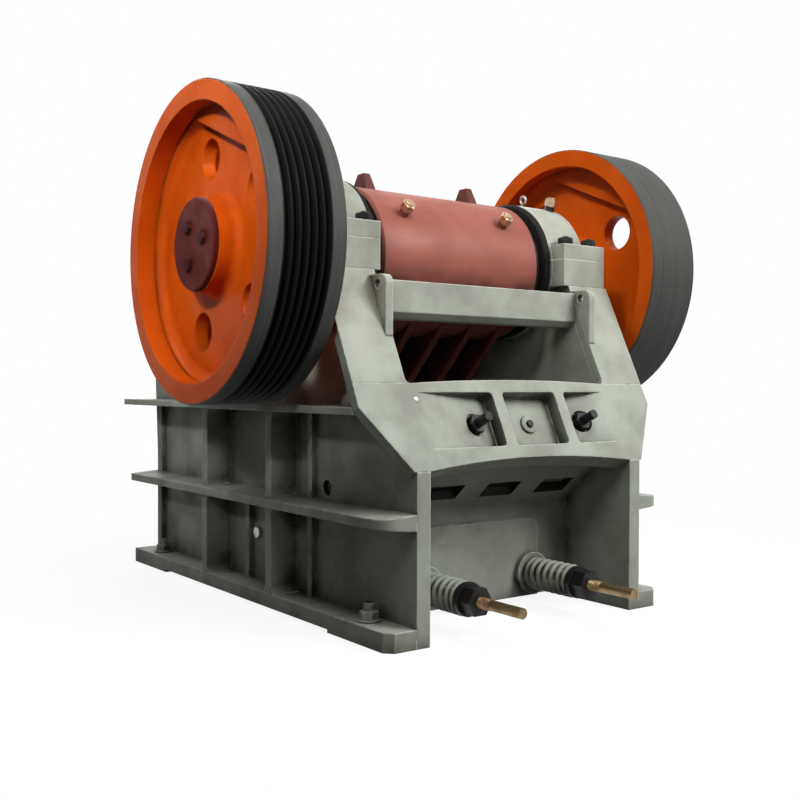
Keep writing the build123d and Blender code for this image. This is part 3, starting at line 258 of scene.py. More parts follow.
def coil(at, length, radius, wire, turns):
    """Spring along -Y: a circle of the wire carried along a helix whose pitch closes to the wire at its ends."""
    dead = 0.8
    turn = np.linspace(0.0, turns, int(turns * 40) + 1)
    run = length - 2.0 * wire
    shut = dead * 2.0 * wire
    along = wire + np.interp(turn, [0.0, dead, turns - dead, turns], [0.0, shut, run - shut, run])
    angle = 2.0 * np.pi * turn
    out = np.stack([np.cos(angle), np.zeros_like(angle), np.sin(angle)], axis=1)
    centre = np.asarray(at) + radius * out - along[:, None] * AXES["Y"]
    tangent = np.gradient(centre, axis=0)
    tangent = tangent / np.linalg.norm(tangent, axis=1, keepdims=True)
    side = np.cross(tangent, out)
    psi = np.linspace(0.0, 2.0 * np.pi, 16, endpoint=False)
    thick = np.full(len(turn), wire)
    thick[[0, -1]] = 0.0
    ring = np.cos(psi)[None, :, None] * out[:, None, :] + np.sin(psi)[None, :, None] * side[:, None, :]
    return centre[:, None, :] + thick[:, None, None] * ring


def screw_thread(at, axis, length, radius, depth, pitch):
    """Thread on a bar: radius + depth times a triangle wave of (distance over pitch less the turn)."""
    turn = np.linspace(0.0, 2.0 * np.pi, 32, endpoint=False)
    run = np.linspace(0.0, length, int(length / pitch * 6) + 1)
    phase = np.mod(run[:, None] / pitch - turn[None, :] / (2.0 * np.pi), 1.0)
    crest = radius + depth * (1.0 - 2.0 * np.abs(phase - 0.5))
    height = np.repeat(run[:, None], len(turn), axis=1)
    crest[[0, -1]] = radius * 0.9
    return placed(crest, height, np.broadcast_to(turn, crest.shape), at, axis)


def ring_eye(at, axis, radius, wire):
    """Eye of an eye bolt: a circle of the wire carried round a ring that stands on the axis."""
    across, up, along = basis(axis)
    turn = np.linspace(0.0, 2.0 * np.pi, 41)
    out = np.cos(turn)[:, None] * across + np.sin(turn)[:, None] * along
    centre = np.asarray(at) + (radius + wire) * along + radius * out
    psi = np.linspace(0.0, 2.0 * np.pi, 16, endpoint=False)
    ring = np.cos(psi)[None, :, None] * out[:, None, :] + np.sin(psi)[None, :, None] * up
    return centre[:, None, :] + wire * ring


def piece(name, shells, body, material, smooth_angle=35.0):
    """One object from closed grids of points, its faces turned outwards, riding on a body and taking a slot."""
    points = []
    quads = []
    start = 0
    for shell in shells:
        rows, columns = shell.shape[:2]
        points.append(shell.reshape(-1, 3))
        quads.append(grid_faces(rows, columns, True, start))
        start += rows * columns
    mesh = bpy.data.meshes.new(name)
    mesh.from_pydata(np.concatenate(points), [], np.concatenate(quads))
    tidy_mesh(mesh, smooth_angle)
    obj = bpy.data.objects.new(name, mesh)
    bpy.context.scene.collection.objects.link(obj)
    obj.data.materials.append(material)
    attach(obj, body)
    return obj


def tidy_mesh(mesh, smooth_angle):
    """Merges doubled points at poles and seams, turns faces outwards and smooths edges under an angle."""
    work = bmesh.new()
    work.from_mesh(mesh)
    bmesh.ops.remove_doubles(work, verts=work.verts, dist=1e-6)
    bmesh.ops.dissolve_degenerate(work, edges=work.edges, dist=1e-7)
    bmesh.ops.recalc_face_normals(work, faces=work.faces)
    work.to_mesh(mesh)
    work.free()
    mesh.validate()
    mesh.shade_smooth()
    mesh.set_sharp_from_angle(angle=math.radians(smooth_angle))


# Shader node groups shared by the finishes


def new_group(name, inputs, outputs):
    """Empty shader node group with named sockets, given as (name, kind, default)."""
    group = bpy.data.node_groups.new(name, "ShaderNodeTree")
    for label, kind, default in inputs:
        socket = group.interface.new_socket(label, in_out="INPUT", socket_type=kind)
        socket.default_value = default
    for label, kind in outputs:
        group.interface.new_socket(label, in_out="OUTPUT", socket_type=kind)
    return group, group.nodes.new("NodeGroupInput"), group.nodes.new("NodeGroupOutput")


def add_math(tree, operation, first, second=None, clamp=False):
    """Math node with numbers or sockets as its inputs; gives its output socket."""
    node = tree.nodes.new("ShaderNodeMath")
    node.operation = operation
    node.use_clamp = clamp
    for socket, value in zip(node.inputs, (first, second)):
        if isinstance(value, bpy.types.NodeSocket):
            tree.links.new(value, socket)
        elif value is not None:
            socket.default_value = value
    return node.outputs[0]


def add_ramp(tree, value, low, high):
    """Smooth step from 0 at low to 1 at high."""
    node = tree.nodes.new("ShaderNodeMapRange")
    node.interpolation_type = "SMOOTHSTEP"
    node.inputs["From Min"].default_value = low
    node.inputs["From Max"].default_value = high
    tree.links.new(value, node.inputs["Value"])
    return node.outputs["Result"]


def add_mix(tree, mask, below, above):
    """Colour mix by a mask; colours are sockets or tuples."""
    node = tree.nodes.new("ShaderNodeMix")
    node.data_type = "RGBA"
    tree.links.new(mask, node.inputs["Factor"])
    for key, value in (("A", below), ("B", above)):
        socket = next(s for s in node.inputs if s.name == key and s.type == "RGBA")
        if isinstance(value, bpy.types.NodeSocket):
            tree.links.new(value, socket)
        else:
            socket.default_value = tuple(value) + (1.0,)
    return next(s for s in node.outputs if s.type == "RGBA")


def add_noise(tree, vector, scale, detail, roughness=0.55):
    """Noise texture on Object coordinates; gives its value socket."""
    node = tree.nodes.new("ShaderNodeTexNoise")
    node.inputs["Detail"].default_value = detail
    node.inputs["Roughness"].default_value = roughness
    if isinstance(scale, bpy.types.NodeSocket):
        tree.links.new(scale, node.inputs["Scale"])
    else:
        node.inputs["Scale"].default_value = scale
    tree.links.new(vector, node.inputs["Vector"])
    return node.outputs[0]


def cast_skin_group():
    """Mottle, orange peel and sand pits of a painted casting."""
    group, enter, leave = new_group(
        "Cast Skin",
        [("Mottle Scale", "NodeSocketFloat", 6.0), ("Grain Scale", "NodeSocketFloat", 140.0)],
        [("Mottle", "NodeSocketFloat"), ("Grain", "NodeSocketFloat"), ("Pits", "NodeSocketFloat")])
    place = group.nodes.new("ShaderNodeTexCoord").outputs["Object"]
    mottle = add_noise(group, place, enter.outputs["Mottle Scale"], 5.0, 0.6)
    grain = add_noise(group, place, enter.outputs["Grain Scale"], 4.0, 0.6)
    pits = add_noise(group, place, 38.0, 3.0, 0.5)
    group.links.new(add_ramp(group, mottle, 0.34, 0.68), leave.inputs["Mottle"])
    group.links.new(grain, leave.inputs["Grain"])
    group.links.new(add_ramp(group, pits, 0.66, 0.74), leave.inputs["Pits"])
    return group


def edge_wear_and_highlight_group():
    """Mask of worn edges, paler also as painted highlights on rounded edges, where the rounded normal leaves the
    face's own, broken up by noise.
    """
    group, enter, leave = new_group(
        "Edge Wear",
        [("Breakup Scale", "NodeSocketFloat", 30.0)],
        [("Wear and Highlight", "NodeSocketFloat"), ("Rounded Normal", "NodeSocketVector")])
    round_node = group.nodes.new("ShaderNodeBevel")
    round_node.samples = 6
    round_node.inputs["Radius"].default_value = 0.007
    geometry = group.nodes.new("ShaderNodeNewGeometry")
    dot = group.nodes.new("ShaderNodeVectorMath")
    dot.operation = "DOT_PRODUCT"
    group.links.new(round_node.outputs[0], dot.inputs[0])
    group.links.new(geometry.outputs["Normal"], dot.inputs[1])
    bend = add_math(group, "SUBTRACT", 1.0, dot.outputs["Value"], clamp=True)
    place = group.nodes.new("ShaderNodeTexCoord").outputs["Object"]
    broken = add_ramp(group, add_noise(group, place, enter.outputs["Breakup Scale"], 4.0), 0.34, 0.54)
    group.links.new(add_math(group, "MULTIPLY", add_ramp(group, bend, 0.02, 0.16), broken), leave.inputs["Wear and Highlight"])
    group.links.new(round_node.outputs[0], leave.inputs["Rounded Normal"])
    return group


def grime_and_shade_group():
    """Mask of painted shade with dirt in corners, from how much of the sky a point sees, and of dust on faces that
    look up.
    """
    group, enter, leave = new_group(
        "Grime and Dust",
        [("Reach", "NodeSocketFloat", 0.12)],
        [("Grime and Shade", "NodeSocketFloat"), ("Dust", "NodeSocketFloat")])
    shade = group.nodes.new("ShaderNodeAmbientOcclusion")
    shade.samples = 6
    group.links.new(enter.outputs["Reach"], shade.inputs["Distance"])
    place = group.nodes.new("ShaderNodeTexCoord").outputs["Object"]
    patch = add_noise(group, place, 14.0, 4.0, 0.6)
    closed = add_math(group, "SUBTRACT", 1.0, shade.outputs["AO"])
    dirt = add_math(group, "MULTIPLY", closed, add_math(group, "ADD", 0.45, patch))
    group.links.new(add_ramp(group, dirt, 0.18, 0.72), leave.inputs["Grime and Shade"])
    geometry = group.nodes.new("ShaderNodeNewGeometry")
    facing = group.nodes.new("ShaderNodeSeparateXYZ")
    group.links.new(geometry.outputs["Normal"], facing.inputs[0])
    upward = add_ramp(group, facing.outputs["Z"], 0.55, 0.95)
    group.links.new(add_math(group, "MULTIPLY", upward, add_ramp(group, patch, 0.35, 0.75)), leave.inputs["Dust"])
    return group


def tool_marks_group():
    """Fine rings left by a lathe: bands along the shaft on treads, with the radius from the shaft and long streaks.
    """
    group, enter, leave = new_group(
        "Tool Marks",
        [("Bands", "NodeSocketFloat", 900.0)],
        [("Along Shaft", "NodeSocketFloat"), ("Radius", "NodeSocketFloat"), ("Streaks", "NodeSocketFloat")])
    place = group.nodes.new("ShaderNodeTexCoord").outputs["Object"]
    split = group.nodes.new("ShaderNodeSeparateXYZ")
    group.links.new(place, split.inputs[0])
    across = add_math(group, "SUBTRACT", split.outputs["Y"], float(SHAFT_AT[1]))
    above = add_math(group, "SUBTRACT", split.outputs["Z"], float(SHAFT_AT[2]))
    radius = add_math(group, "SQRT", add_math(group, "ADD", add_math(group, "MULTIPLY", across, across),
                                              add_math(group, "MULTIPLY", above, above)))
    wave = add_math(group, "SINE", add_math(group, "MULTIPLY", split.outputs["X"], enter.outputs["Bands"]))
    stretch = group.nodes.new("ShaderNodeMapping")
    stretch.inputs["Scale"].default_value = (60.0, 1.2, 1.2)
    group.links.new(place, stretch.inputs["Vector"])
    group.links.new(wave, leave.inputs["Along Shaft"])
    group.links.new(radius, leave.inputs["Radius"])
    group.links.new(add_noise(group, stretch.outputs[0], 2.0, 4.0), leave.inputs["Streaks"])
    return group


GROUPS = {}


def shared(tree, name):
    """Places one of the shared groups in a material."""
    makers = {"skin": cast_skin_group, "wear_and_highlight": edge_wear_and_highlight_group, "grime_and_shade": grime_and_shade_group, "marks": tool_marks_group}
    if name not in GROUPS:
        GROUPS[name] = makers[name]()
    node = tree.nodes.new("ShaderNodeGroup")
    node.node_tree = GROUPS[name]
    return node


# Finishes


def blank_material(name, roughness, metallic=0.0, specular=0.5):
    """Material with one Principled shader whose even values are set on its own sockets."""
    material = bpy.data.materials.new(name)
    material.use_nodes = True
    shader = material.node_tree.nodes["Principled BSDF"]
    shader.inputs["Roughness"].default_value = roughness
    shader.inputs["Metallic"].default_value = metallic
    shader.inputs["Specular IOR Level"].default_value = specular
    return material, material.node_tree, shader


def bump(tree, shader, height, strength, distance, normal=None):
    """Bump from a height, on top of a rounded normal where one is given."""
    node = tree.nodes.new("ShaderNodeBump")
    node.inputs["Strength"].default_value = strength
    node.inputs["Distance"].default_value = distance
    tree.links.new(height, node.inputs["Height"])
    if normal is not None:
        tree.links.new(normal, node.inputs["Normal"])
    tree.links.new(node.outputs["Normal"], shader.inputs["Normal"])


def rough_by(tree, shader, value, low, high):
    """Roughness between two values by a mask."""
    node = tree.nodes.new("ShaderNodeMapRange")
    node.inputs["To Min"].default_value = low
    node.inputs["To Max"].default_value = high
    tree.links.new(value, node.inputs["Value"])
    tree.links.new(node.outputs["Result"], shader.inputs["Roughness"])


def cast_paint(name, colour, shade, grime_and_shade, edge, gloss=(0.34, 0.62), reach=0.12, specular=0.07, end_shade=0.0,
               shaded_slots=False):
    """Enamel on a casting: mottled colour, painted shade with dirt in corners, dust on top, worn edges with painted
    highlights, and painted shade at a housing's inner end and in the slots.
    """
    material, tree, shader = blank_material(name, 0.5, 0.0, specular)
    skin = shared(tree, "skin")
    wear_and_highlight = shared(tree, "wear_and_highlight")
    dirt = shared(tree, "grime_and_shade")
    dirt.inputs["Reach"].default_value = reach
    coat = add_mix(tree, skin.outputs["Mottle"], colour, shade)
    coat = add_mix(tree, dirt.outputs["Dust"], coat, tuple(0.5 * c + 0.24 for c in colour))
    # Painted shade with dirt where a point sees little of the sky
    coat = add_mix(tree, dirt.outputs["Grime and Shade"], coat, grime_and_shade)
    # Worn edges, made whiter as painted highlights
    coat = add_mix(tree, wear_and_highlight.outputs["Wear and Highlight"], coat, edge)
    # Painted shade at the housing's inner end, for the dark gap next to the jaw's tube
    if end_shade:
        coat = add_mix(tree, end_shade_mask(tree, end_shade), coat, (0.016, 0.014, 0.013))
    # Painted shade on the slots' inner walls
    if shaded_slots:
        coat = add_mix(tree, slot_wall_shade(tree), coat, (0.022, 0.021, 0.018))
    tree.links.new(coat, shader.inputs["Base Color"])
    rough_by(tree, shader, skin.outputs["Mottle"], *gloss)
    height = add_math(tree, "SUBTRACT", skin.outputs["Grain"], skin.outputs["Pits"])
    bump(tree, shader, height, 0.22, 0.0012, wear_and_highlight.outputs["Rounded Normal"])
    return material


def slot_wall_shade(tree):
    """Mask of the slots' inner walls, which take painted shade, 1 where min(|x - m|, ||x - m| - s|) and |y - y0|
    are within half a slot.
    """
    split = tree.nodes.new("ShaderNodeSeparateXYZ")
    tree.links.new(tree.nodes.new("ShaderNodeTexCoord").outputs["Object"], split.inputs[0])
    offset = add_math(tree, "ABSOLUTE", add_math(tree, "SUBTRACT", split.outputs["X"], SLOT_MIDDLE_X))
    outer = add_math(tree, "ABSOLUTE", add_math(tree, "SUBTRACT", offset, SLOT_SPACING))
    nearest = add_math(tree, "MINIMUM", offset, outer)
    middle_y = SHAFT_AT[1] - SLOT_BEHIND_SHAFT
    along = add_math(tree, "ABSOLUTE", add_math(tree, "SUBTRACT", split.outputs["Y"], middle_y))
    in_width = add_ramp(tree, nearest, SLOT_WIDTH / 2 + 0.0015, SLOT_WIDTH / 2 + 0.0005)
    in_length = add_ramp(tree, along, SLOT_LENGTH / 2 + 0.0015, SLOT_LENGTH / 2 + 0.0005)
    return add_math(tree, "MULTIPLY", in_width, in_length)


def end_shade_mask(tree, reach):
    """Mask of a bearing housing's barrel nearer to the machine's middle than a reach along the shaft, where painted
    shade stands for the dark gap between the jaw's tube and the cap.
    """
    marks = shared(tree, "marks")
    split = tree.nodes.new("ShaderNodeSeparateXYZ")
    tree.links.new(tree.nodes.new("ShaderNodeTexCoord").outputs["Object"], split.inputs[0])
    inside = add_ramp(tree, add_math(tree, "ABSOLUTE", split.outputs["X"]), reach + 0.0015, reach)
    barrel = add_ramp(tree, marks.outputs["Radius"], 0.2525, 0.2505)
    return add_math(tree, "MULTIPLY", inside, barrel)


def wheel_finish(name, paint, grooved):
    """Orange enamel on a wheel whose tread is bare turned iron, with belt black where it is grooved."""
    material, tree, shader = blank_material(name, 0.4, 0.0, 0.05)
    skin = shared(tree, "skin")
    wear_and_highlight = shared(tree, "wear_and_highlight")
    dirt = shared(tree, "grime_and_shade")
    marks = shared(tree, "marks")
    low, high = BOX["pulley_rim" if grooved else "flywheel_rim"]
    coat = add_mix(tree, skin.outputs["Mottle"], paint.wheel_orange, paint.wheel_shade)
    # Painted shade with dirt in the wheels' corners and recesses
    coat = add_mix(tree, dirt.outputs["Grime and Shade"], coat, tuple(0.3 * c for c in paint.wheel_shade))
    iron = add_mix(tree, add_ramp(tree, marks.outputs["Streaks"], 0.35, 0.7), paint.rim_iron,
                   tuple(1.3 * c for c in paint.rim_iron))
    place = tree.nodes.new("ShaderNodeTexCoord").outputs["Object"]
    split = tree.nodes.new("ShaderNodeSeparateXYZ")
    tree.links.new(place, split.inputs[0])
    middle = float(low[0] + high[0]) / 2.0
    half = float(high[0] - low[0]) / 2.0
    from_middle = add_math(tree, "ABSOLUTE", add_math(tree, "SUBTRACT", split.outputs["X"], middle))
    if grooved:
        iron = add_mix(tree, add_ramp(tree, from_middle, 0.08, 0.0765), iron, paint.groove_black)
    between = add_ramp(tree, from_middle, half - 0.0003, half - 0.0012)
    tread = add_math(tree, "MULTIPLY", between, add_ramp(tree, marks.outputs["Radius"], 0.438, 0.444))
    tree.links.new(add_mix(tree, tread, coat, iron), shader.inputs["Base Color"])
    tree.links.new(add_math(tree, "MULTIPLY", tread, 0.12), shader.inputs["Metallic"])
    dull = add_math(tree, "ADD", add_math(tree, "MULTIPLY", tread, 0.2), 0.26)
    tree.links.new(add_math(tree, "ADD", add_math(tree, "MULTIPLY", skin.outputs["Mottle"], 0.14), dull),
                   shader.inputs["Roughness"])
    rings = add_math(tree, "MULTIPLY", add_math(tree, "MULTIPLY", marks.outputs["Along Shaft"], tread), 0.4)
    height = add_math(tree, "ADD", skin.outputs["Grain"], rings)
    bump(tree, shader, height, 0.16, 0.0012, wear_and_highlight.outputs["Rounded Normal"])
    return material


def jaw_finish(paint):
    """Oxide red primer, with painted shade on the lugs above the tube and on the jaw below the tube, and painted
    shade with soot in corners.
    """
    material, tree, shader = blank_material("oxide_red_primer", 0.45, 0.0, 0.15)
    skin = shared(tree, "skin")
    wear_and_highlight = shared(tree, "wear_and_highlight")
    dirt = shared(tree, "grime_and_shade")
    dirt.inputs["Reach"].default_value = 0.2
    coat = add_mix(tree, skin.outputs["Mottle"], paint.jaw_red, tuple(0.82 * c for c in paint.jaw_red))
    place = tree.nodes.new("ShaderNodeTexCoord").outputs["Object"]
    split = tree.nodes.new("ShaderNodeSeparateXYZ")
    tree.links.new(place, split.inputs[0])
    tube_top = float(JAW_AT[2]) + 0.244
    # Painted shade on the lugs above the tube
    lug = add_ramp(tree, split.outputs["Z"], tube_top + 0.001, tube_top + 0.006)
    coat = add_mix(tree, lug, coat, tuple(0.55 * c for c in paint.jaw_painted_shade))
    # Painted shade, darker below the tube, where the jaw sits inside the frame
    below = add_ramp(tree, split.outputs["Z"], float(JAW_AT[2]) - 0.08, float(JAW_AT[2]) - 0.3)
    coat = add_mix(tree, below, coat, paint.jaw_painted_shade)
    # Painted shade with soot in the jaw's corners
    coat = add_mix(tree, dirt.outputs["Grime and Shade"], coat, (0.03, 0.012, 0.01))
    tree.links.new(coat, shader.inputs["Base Color"])
    rough_by(tree, shader, skin.outputs["Mottle"], 0.36, 0.55)
    bump(tree, shader, skin.outputs["Grain"], 0.16, 0.001, wear_and_highlight.outputs["Rounded Normal"])
    return material


def metal_finish(name, colour, stain, rough, metallic, grain=0.12):
    """Bare or oxidised metal with stained patches and painted shade with dirt in corners."""
    material, tree, shader = blank_material(name, 0.4, metallic, 0.2)
    skin = shared(tree, "skin")
    skin.inputs["Mottle Scale"].default_value = 22.0
    skin.inputs["Grain Scale"].default_value = 320.0
    dirt = shared(tree, "grime_and_shade")
    dirt.inputs["Reach"].default_value = 0.03
    coat = add_mix(tree, skin.outputs["Mottle"], colour, stain)
    # Painted shade with dirt in corners
    coat = add_mix(tree, dirt.outputs["Grime and Shade"], coat, tuple(0.25 * c for c in stain))
    tree.links.new(coat, shader.inputs["Base Color"])
    rough_by(tree, shader, skin.outputs["Mottle"], *rough)
    bump(tree, shader, skin.outputs["Grain"], grain, 0.0006)
    return material


FINISHES = {}


def finish(name):
    """One of the finishes made by the paint operator."""
    return FINISHES[name]


class CRUSHER_OT_mix_finishes(bpy.types.Operator):
    """Makes the machine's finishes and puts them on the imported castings"""

    bl_idname = "crusher.mix_finishes"
    bl_label = "Mix Finishes"

    def execute(self, context):
        paint = context.scene.crusher_paint
        # The third colour of each cast paint is painted shade with dirt in corners, the fourth worn edges with
        # painted highlights
        frame_enamel = cast_paint("grey_green_enamel", tuple(paint.frame_green), tuple(paint.frame_shade),
                                  tuple(paint.grime_and_shade), tuple(paint.worn_edge_and_highlight))
        FINISHES.update({
            "frame_paint": frame_enamel,
            "housing": cast_paint("housing_enamel", tuple(paint.frame_green), tuple(paint.frame_shade),
                                  # The housing's inner end takes painted shade
                                  tuple(paint.grime_and_shade), tuple(paint.worn_edge_and_highlight), end_shade=0.382),
            # The rear wall's slots take painted shade on their inner walls
            "shaded_slots": cast_paint("slotted_enamel", tuple(paint.frame_green), tuple(paint.frame_shade),
                                  tuple(paint.grime_and_shade), tuple(paint.worn_edge_and_highlight), shaded_slots=True),
            "spring_paint": cast_paint("spring_enamel", tuple(0.8 * c for c in paint.frame_green),
                                       tuple(0.6 * c for c in paint.frame_green), tuple(paint.grime_and_shade),
                                       tuple(paint.frame_green), reach=0.03),
            "cover_paint": cast_paint("dark_red_enamel", tuple(paint.cover_red),
                                      tuple(0.7 * c for c in paint.cover_red), (0.012, 0.004, 0.004),
                                      tuple(1.8 * c for c in paint.cover_red), specular=0.06),
            "cover_bolt": cast_paint("bolt_enamel", tuple(0.34 * c for c in paint.cover_red),
                                     tuple(0.22 * c for c in paint.cover_red), (0.008, 0.003, 0.003),
                                     tuple(paint.cover_red), specular=0.06),
            "jaw_paint": jaw_finish(paint),
            "wear_steel": metal_finish("cast_wear_steel", (0.2, 0.195, 0.185), (0.12, 0.1, 0.085),
                                       (0.45, 0.7), 0.75, 0.3),
            "shaft_steel": metal_finish("turned_steel", (0.46, 0.46, 0.47), (0.3, 0.29, 0.28), (0.22, 0.4), 1.0),
            "dark_steel": metal_finish("black_oxide", (0.034, 0.033, 0.034), (0.02, 0.017, 0.016),
                                       (0.35, 0.55), 0.5),
            "rod_steel": metal_finish("tarnished_zinc", (0.33, 0.235, 0.125), (0.16, 0.1, 0.05), (0.35, 0.6), 0.85),
            "seal_iron": metal_finish("greasy_iron", (0.035, 0.03, 0.028), (0.016, 0.013, 0.012), (0.3, 0.5), 0.4),
            "brass": metal_finish("plug_brass", tuple(paint.brass), tuple(0.6 * c for c in paint.brass),
                                  (0.22, 0.4), 0.9),
            "bright_steel": metal_finish("bright_bolt", (0.52, 0.52, 0.5), (0.36, 0.34, 0.31), (0.3, 0.5), 0.9),
            "pulley": wheel_finish("pulley_enamel", paint, True),
            "flywheel": wheel_finish("flywheel_enamel", paint, False),
        })
        for node, obj in frame["nodes"].items():
            chosen = NODE_SLOT[node]
            if chosen == "wheel_paint":
                chosen = node.split("_")[0]
            elif "_bearing_" in node:
                chosen = "housing"
            elif node == "rear_wall":
                chosen = "shaded_slots"
            obj.data.materials.clear()
            obj.data.materials.append(FINISHES[chosen])
        return {"FINISHED"}


class CRUSHER_OT_wind_springs(bpy.types.Operator):
    """Winds each tension spring as a round wire with closed ends"""

    bl_idname = "crusher.wind_springs"
    bl_label = "Wind Springs"

    def execute(self, context):
        sizes = context.scene.crusher_fasteners
        for side, _ in SIDES:
            node = f"{side}_spring"
            low, high = BOX[node]
            seat_y = BOX[f"{side}_spring_seat"][0][1]
            cap_y = BOX[f"{side}_spring_cap"][1][1]
            rod_low, rod_high = BOX[f"{side}_spring_seat"]
            at = ((rod_low[0] + rod_high[0]) / 2.0, seat_y, (rod_low[2] + rod_high[2]) / 2.0)
            radius = float(high[2] - low[2]) / 2.0 - sizes.spring_wire
            shell = coil(at, float(seat_y - cap_y), radius, sizes.spring_wire, sizes.spring_turns)
            wound = piece(f"{side}_spring_coil", [shell], "frame", finish("spring_paint"), 180.0)
            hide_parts(node)
        return {"FINISHED"}


class CRUSHER_OT_cut_threads(bpy.types.Operator):
    """Cuts the thread behind the nut of each tension rod"""

    bl_idname = "crusher.cut_threads"
    bl_label = "Cut Threads"

    def execute(self, context):
        pitch = context.scene.crusher_fasteners.thread_pitch
        rod_radius = 0.016
        for side, _ in SIDES:
            low, high = BOX[f"{side}_spring_cap"]
            at = ((low[0] + high[0]) / 2.0, low[1] + 0.001, (low[2] + high[2]) / 2.0)
            shell = screw_thread(at, (0.0, -1.0, 0.0), 0.05, rod_radius, 0.0016, pitch)
            piece(f"{side}_rod_thread", [shell], "frame", finish("rod_steel"), 60.0)
        return {"FINISHED"}


def plug_bolt(at, axis, across):
    """Hexagon head with a low crown on a short round collar; gives the collar and the bolt."""
    collar = lathe([(0.0, 0.0), (0.021, 0.0), (0.018, 0.004), (0.017, 0.02), (0.0, 0.02)], at, axis)
    head = hex_body(across, 0.028, at + 0.018 * axis, axis, 0.3)
    crown = lathe(stud_profile(0.014, 0.006, 0.002), at + 0.045 * axis, axis)
    return [collar], [head, crown]


def on_drum(x, degrees, radius, centre):
    """Place and outward direction on a drum along X, at an angle from its top towards the rear."""
    turn = math.radians(degrees)
    axis = np.array([0.0, -math.sin(turn), math.cos(turn)])
    return np.array([x, centre[1], centre[2]]) + radius * axis, axis


class CRUSHER_OT_fit_plug_bolts(bpy.types.Operator):
    """Fits the two plug bolts in the back of the jaw's tube"""

    bl_idname = "crusher.fit_plug_bolts"
    bl_label = "Fit Plug Bolts"

    def execute(self, context):
        across = context.scene.crusher_fasteners.plug_across
        for side, x in (("left", -0.222), ("right", 0.2)):
            at, axis = on_drum(x, 54.0, 0.242, JAW_AT)
            collar, bolt = plug_bolt(at, axis, across)
            piece(f"{side}_plug_collar", collar, "jaw", finish("jaw_paint"))
            piece(f"{side}_plug_bolt", bolt, "jaw", finish("brass"))
        return {"FINISHED"}


class CRUSHER_OT_fit_cap_studs(bpy.types.Operator):
    """Fits studs, washers and nuts on the feet of the bearing caps, and a plug and an eye on the right cap"""

    bl_idname = "crusher.fit_cap_studs"
    bl_label = "Fit Cap Studs"

    def execute(self, context):
        sizes = context.scene.crusher_fasteners
        foot_top = 1.162 + 0.023 + 0.053
        for side, sign in SIDES:
            low, high = BOX[f"{side}_bearing_seat"]
            studs = []
            for x in (sign * 0.43, sign * 0.545):
                for y in (low[1] + 0.034, high[1] - 0.034):
                    at = np.array([x, y, foot_top])
                    studs.append(lathe(washer_profile(0.012, 0.029, 0.005), at, AXES["Z"]))
                    studs.append(hex_body(sizes.cap_across, 0.02, at + [0.0, 0.0, 0.005], AXES["Z"], 0.4))
                    studs.append(lathe(stud_profile(0.013, 0.03, 0.003), at, AXES["Z"]))
            piece(f"{side}_cap_studs", studs, "frame", finish("dark_steel"))
        self.fit_cap_top(sizes.plug_across)
        return {"FINISHED"}

    def fit_cap_top(self, across):
        """Plug bolt and small ring eye on the right cap's barrel."""
        at, axis = on_drum(0.53, 21.0, 0.2465, SHAFT_AT)
        collar, bolt = plug_bolt(at, axis, across)
        piece("right_cap_plug_collar", collar, "frame", finish("dark_steel"))
        piece("right_cap_plug", bolt, "frame", finish("brass"))
        at, axis = on_drum(0.42, 14.0, 0.2465, SHAFT_AT)
        shank = lathe(stud_profile(0.006, 0.009, 0.001), at, axis)
        eye = ring_eye(at + 0.006 * axis, axis, 0.0135, 0.004)
        piece("right_cap_eye", [shank, eye], "frame", finish("bright_steel"))


class CRUSHER_OT_fit_cover_bolts(bpy.types.Operator):
    """Fits three bolts in each hub cover"""

    bl_idname = "crusher.fit_cover_bolts"
    bl_label = "Fit Cover Bolts"

    def execute(self, context):
        sizes = context.scene.crusher_fasteners
        for side, sign in SIDES:
            low, high = BOX[f"{side}_hub_cover"]
            face = low[0] if sign < 0 else high[0]
            axis = np.array([sign, 0.0, 0.0])
            heads = []
            for degrees in (14.0, 125.0, 241.0):
                turn = math.radians(degrees)
                at = np.array([face, SHAFT_AT[1] - sizes.cover_circle * math.cos(turn),
                               SHAFT_AT[2] + sizes.cover_circle * math.sin(turn)])
                heads.append(lathe(washer_profile(0.008, 0.027, 0.0025), at, axis))
                heads.append(hex_body(sizes.cover_across, 0.007, at + 0.0025 * axis, axis, turn))
            piece(f"{side}_cover_bolts", heads, "rotor", finish("cover_bolt"))
        return {"FINISHED"}


class CRUSHER_OT_fit_anchor_bolts(bpy.types.Operator):
    """Fits a washer, a nut and a bolt end in each foundation hole"""

    bl_idname = "crusher.fit_anchor_bolts"
    bl_label = "Fit Anchor Bolts"

    def execute(self, context):
        across = context.scene.crusher_fasteners.anchor_across
        pattern = next(m for m in frame["record"]["mounts"] if m["name"] == "anchor_bolts")["dims"]
        foot_top = 0.056
        for side, sign in SIDES:
            bolts = []
            for end in (-1.0, 1.0):
                x, y = sign * pattern["spacing_x_mm"] / 2000.0, end * pattern["spacing_y_mm"] / 2000.0
                at = np.array([x, y, foot_top])
                bolts.append(lathe(washer_profile(0.017, 0.034, 0.006), at, AXES["Z"]))
                bolts.append(hex_body(across, 0.026, at + [0.0, 0.0, 0.006], AXES["Z"], 0.2))
                bolts.append(screw_thread(at - [0.0, 0.0, 0.05], AXES["Z"], 0.105, 0.0155, 0.0012, 0.0035))
            piece(f"{side}_anchor_bolts", bolts, "frame", finish("frame_paint"))
        return {"FINISHED"}


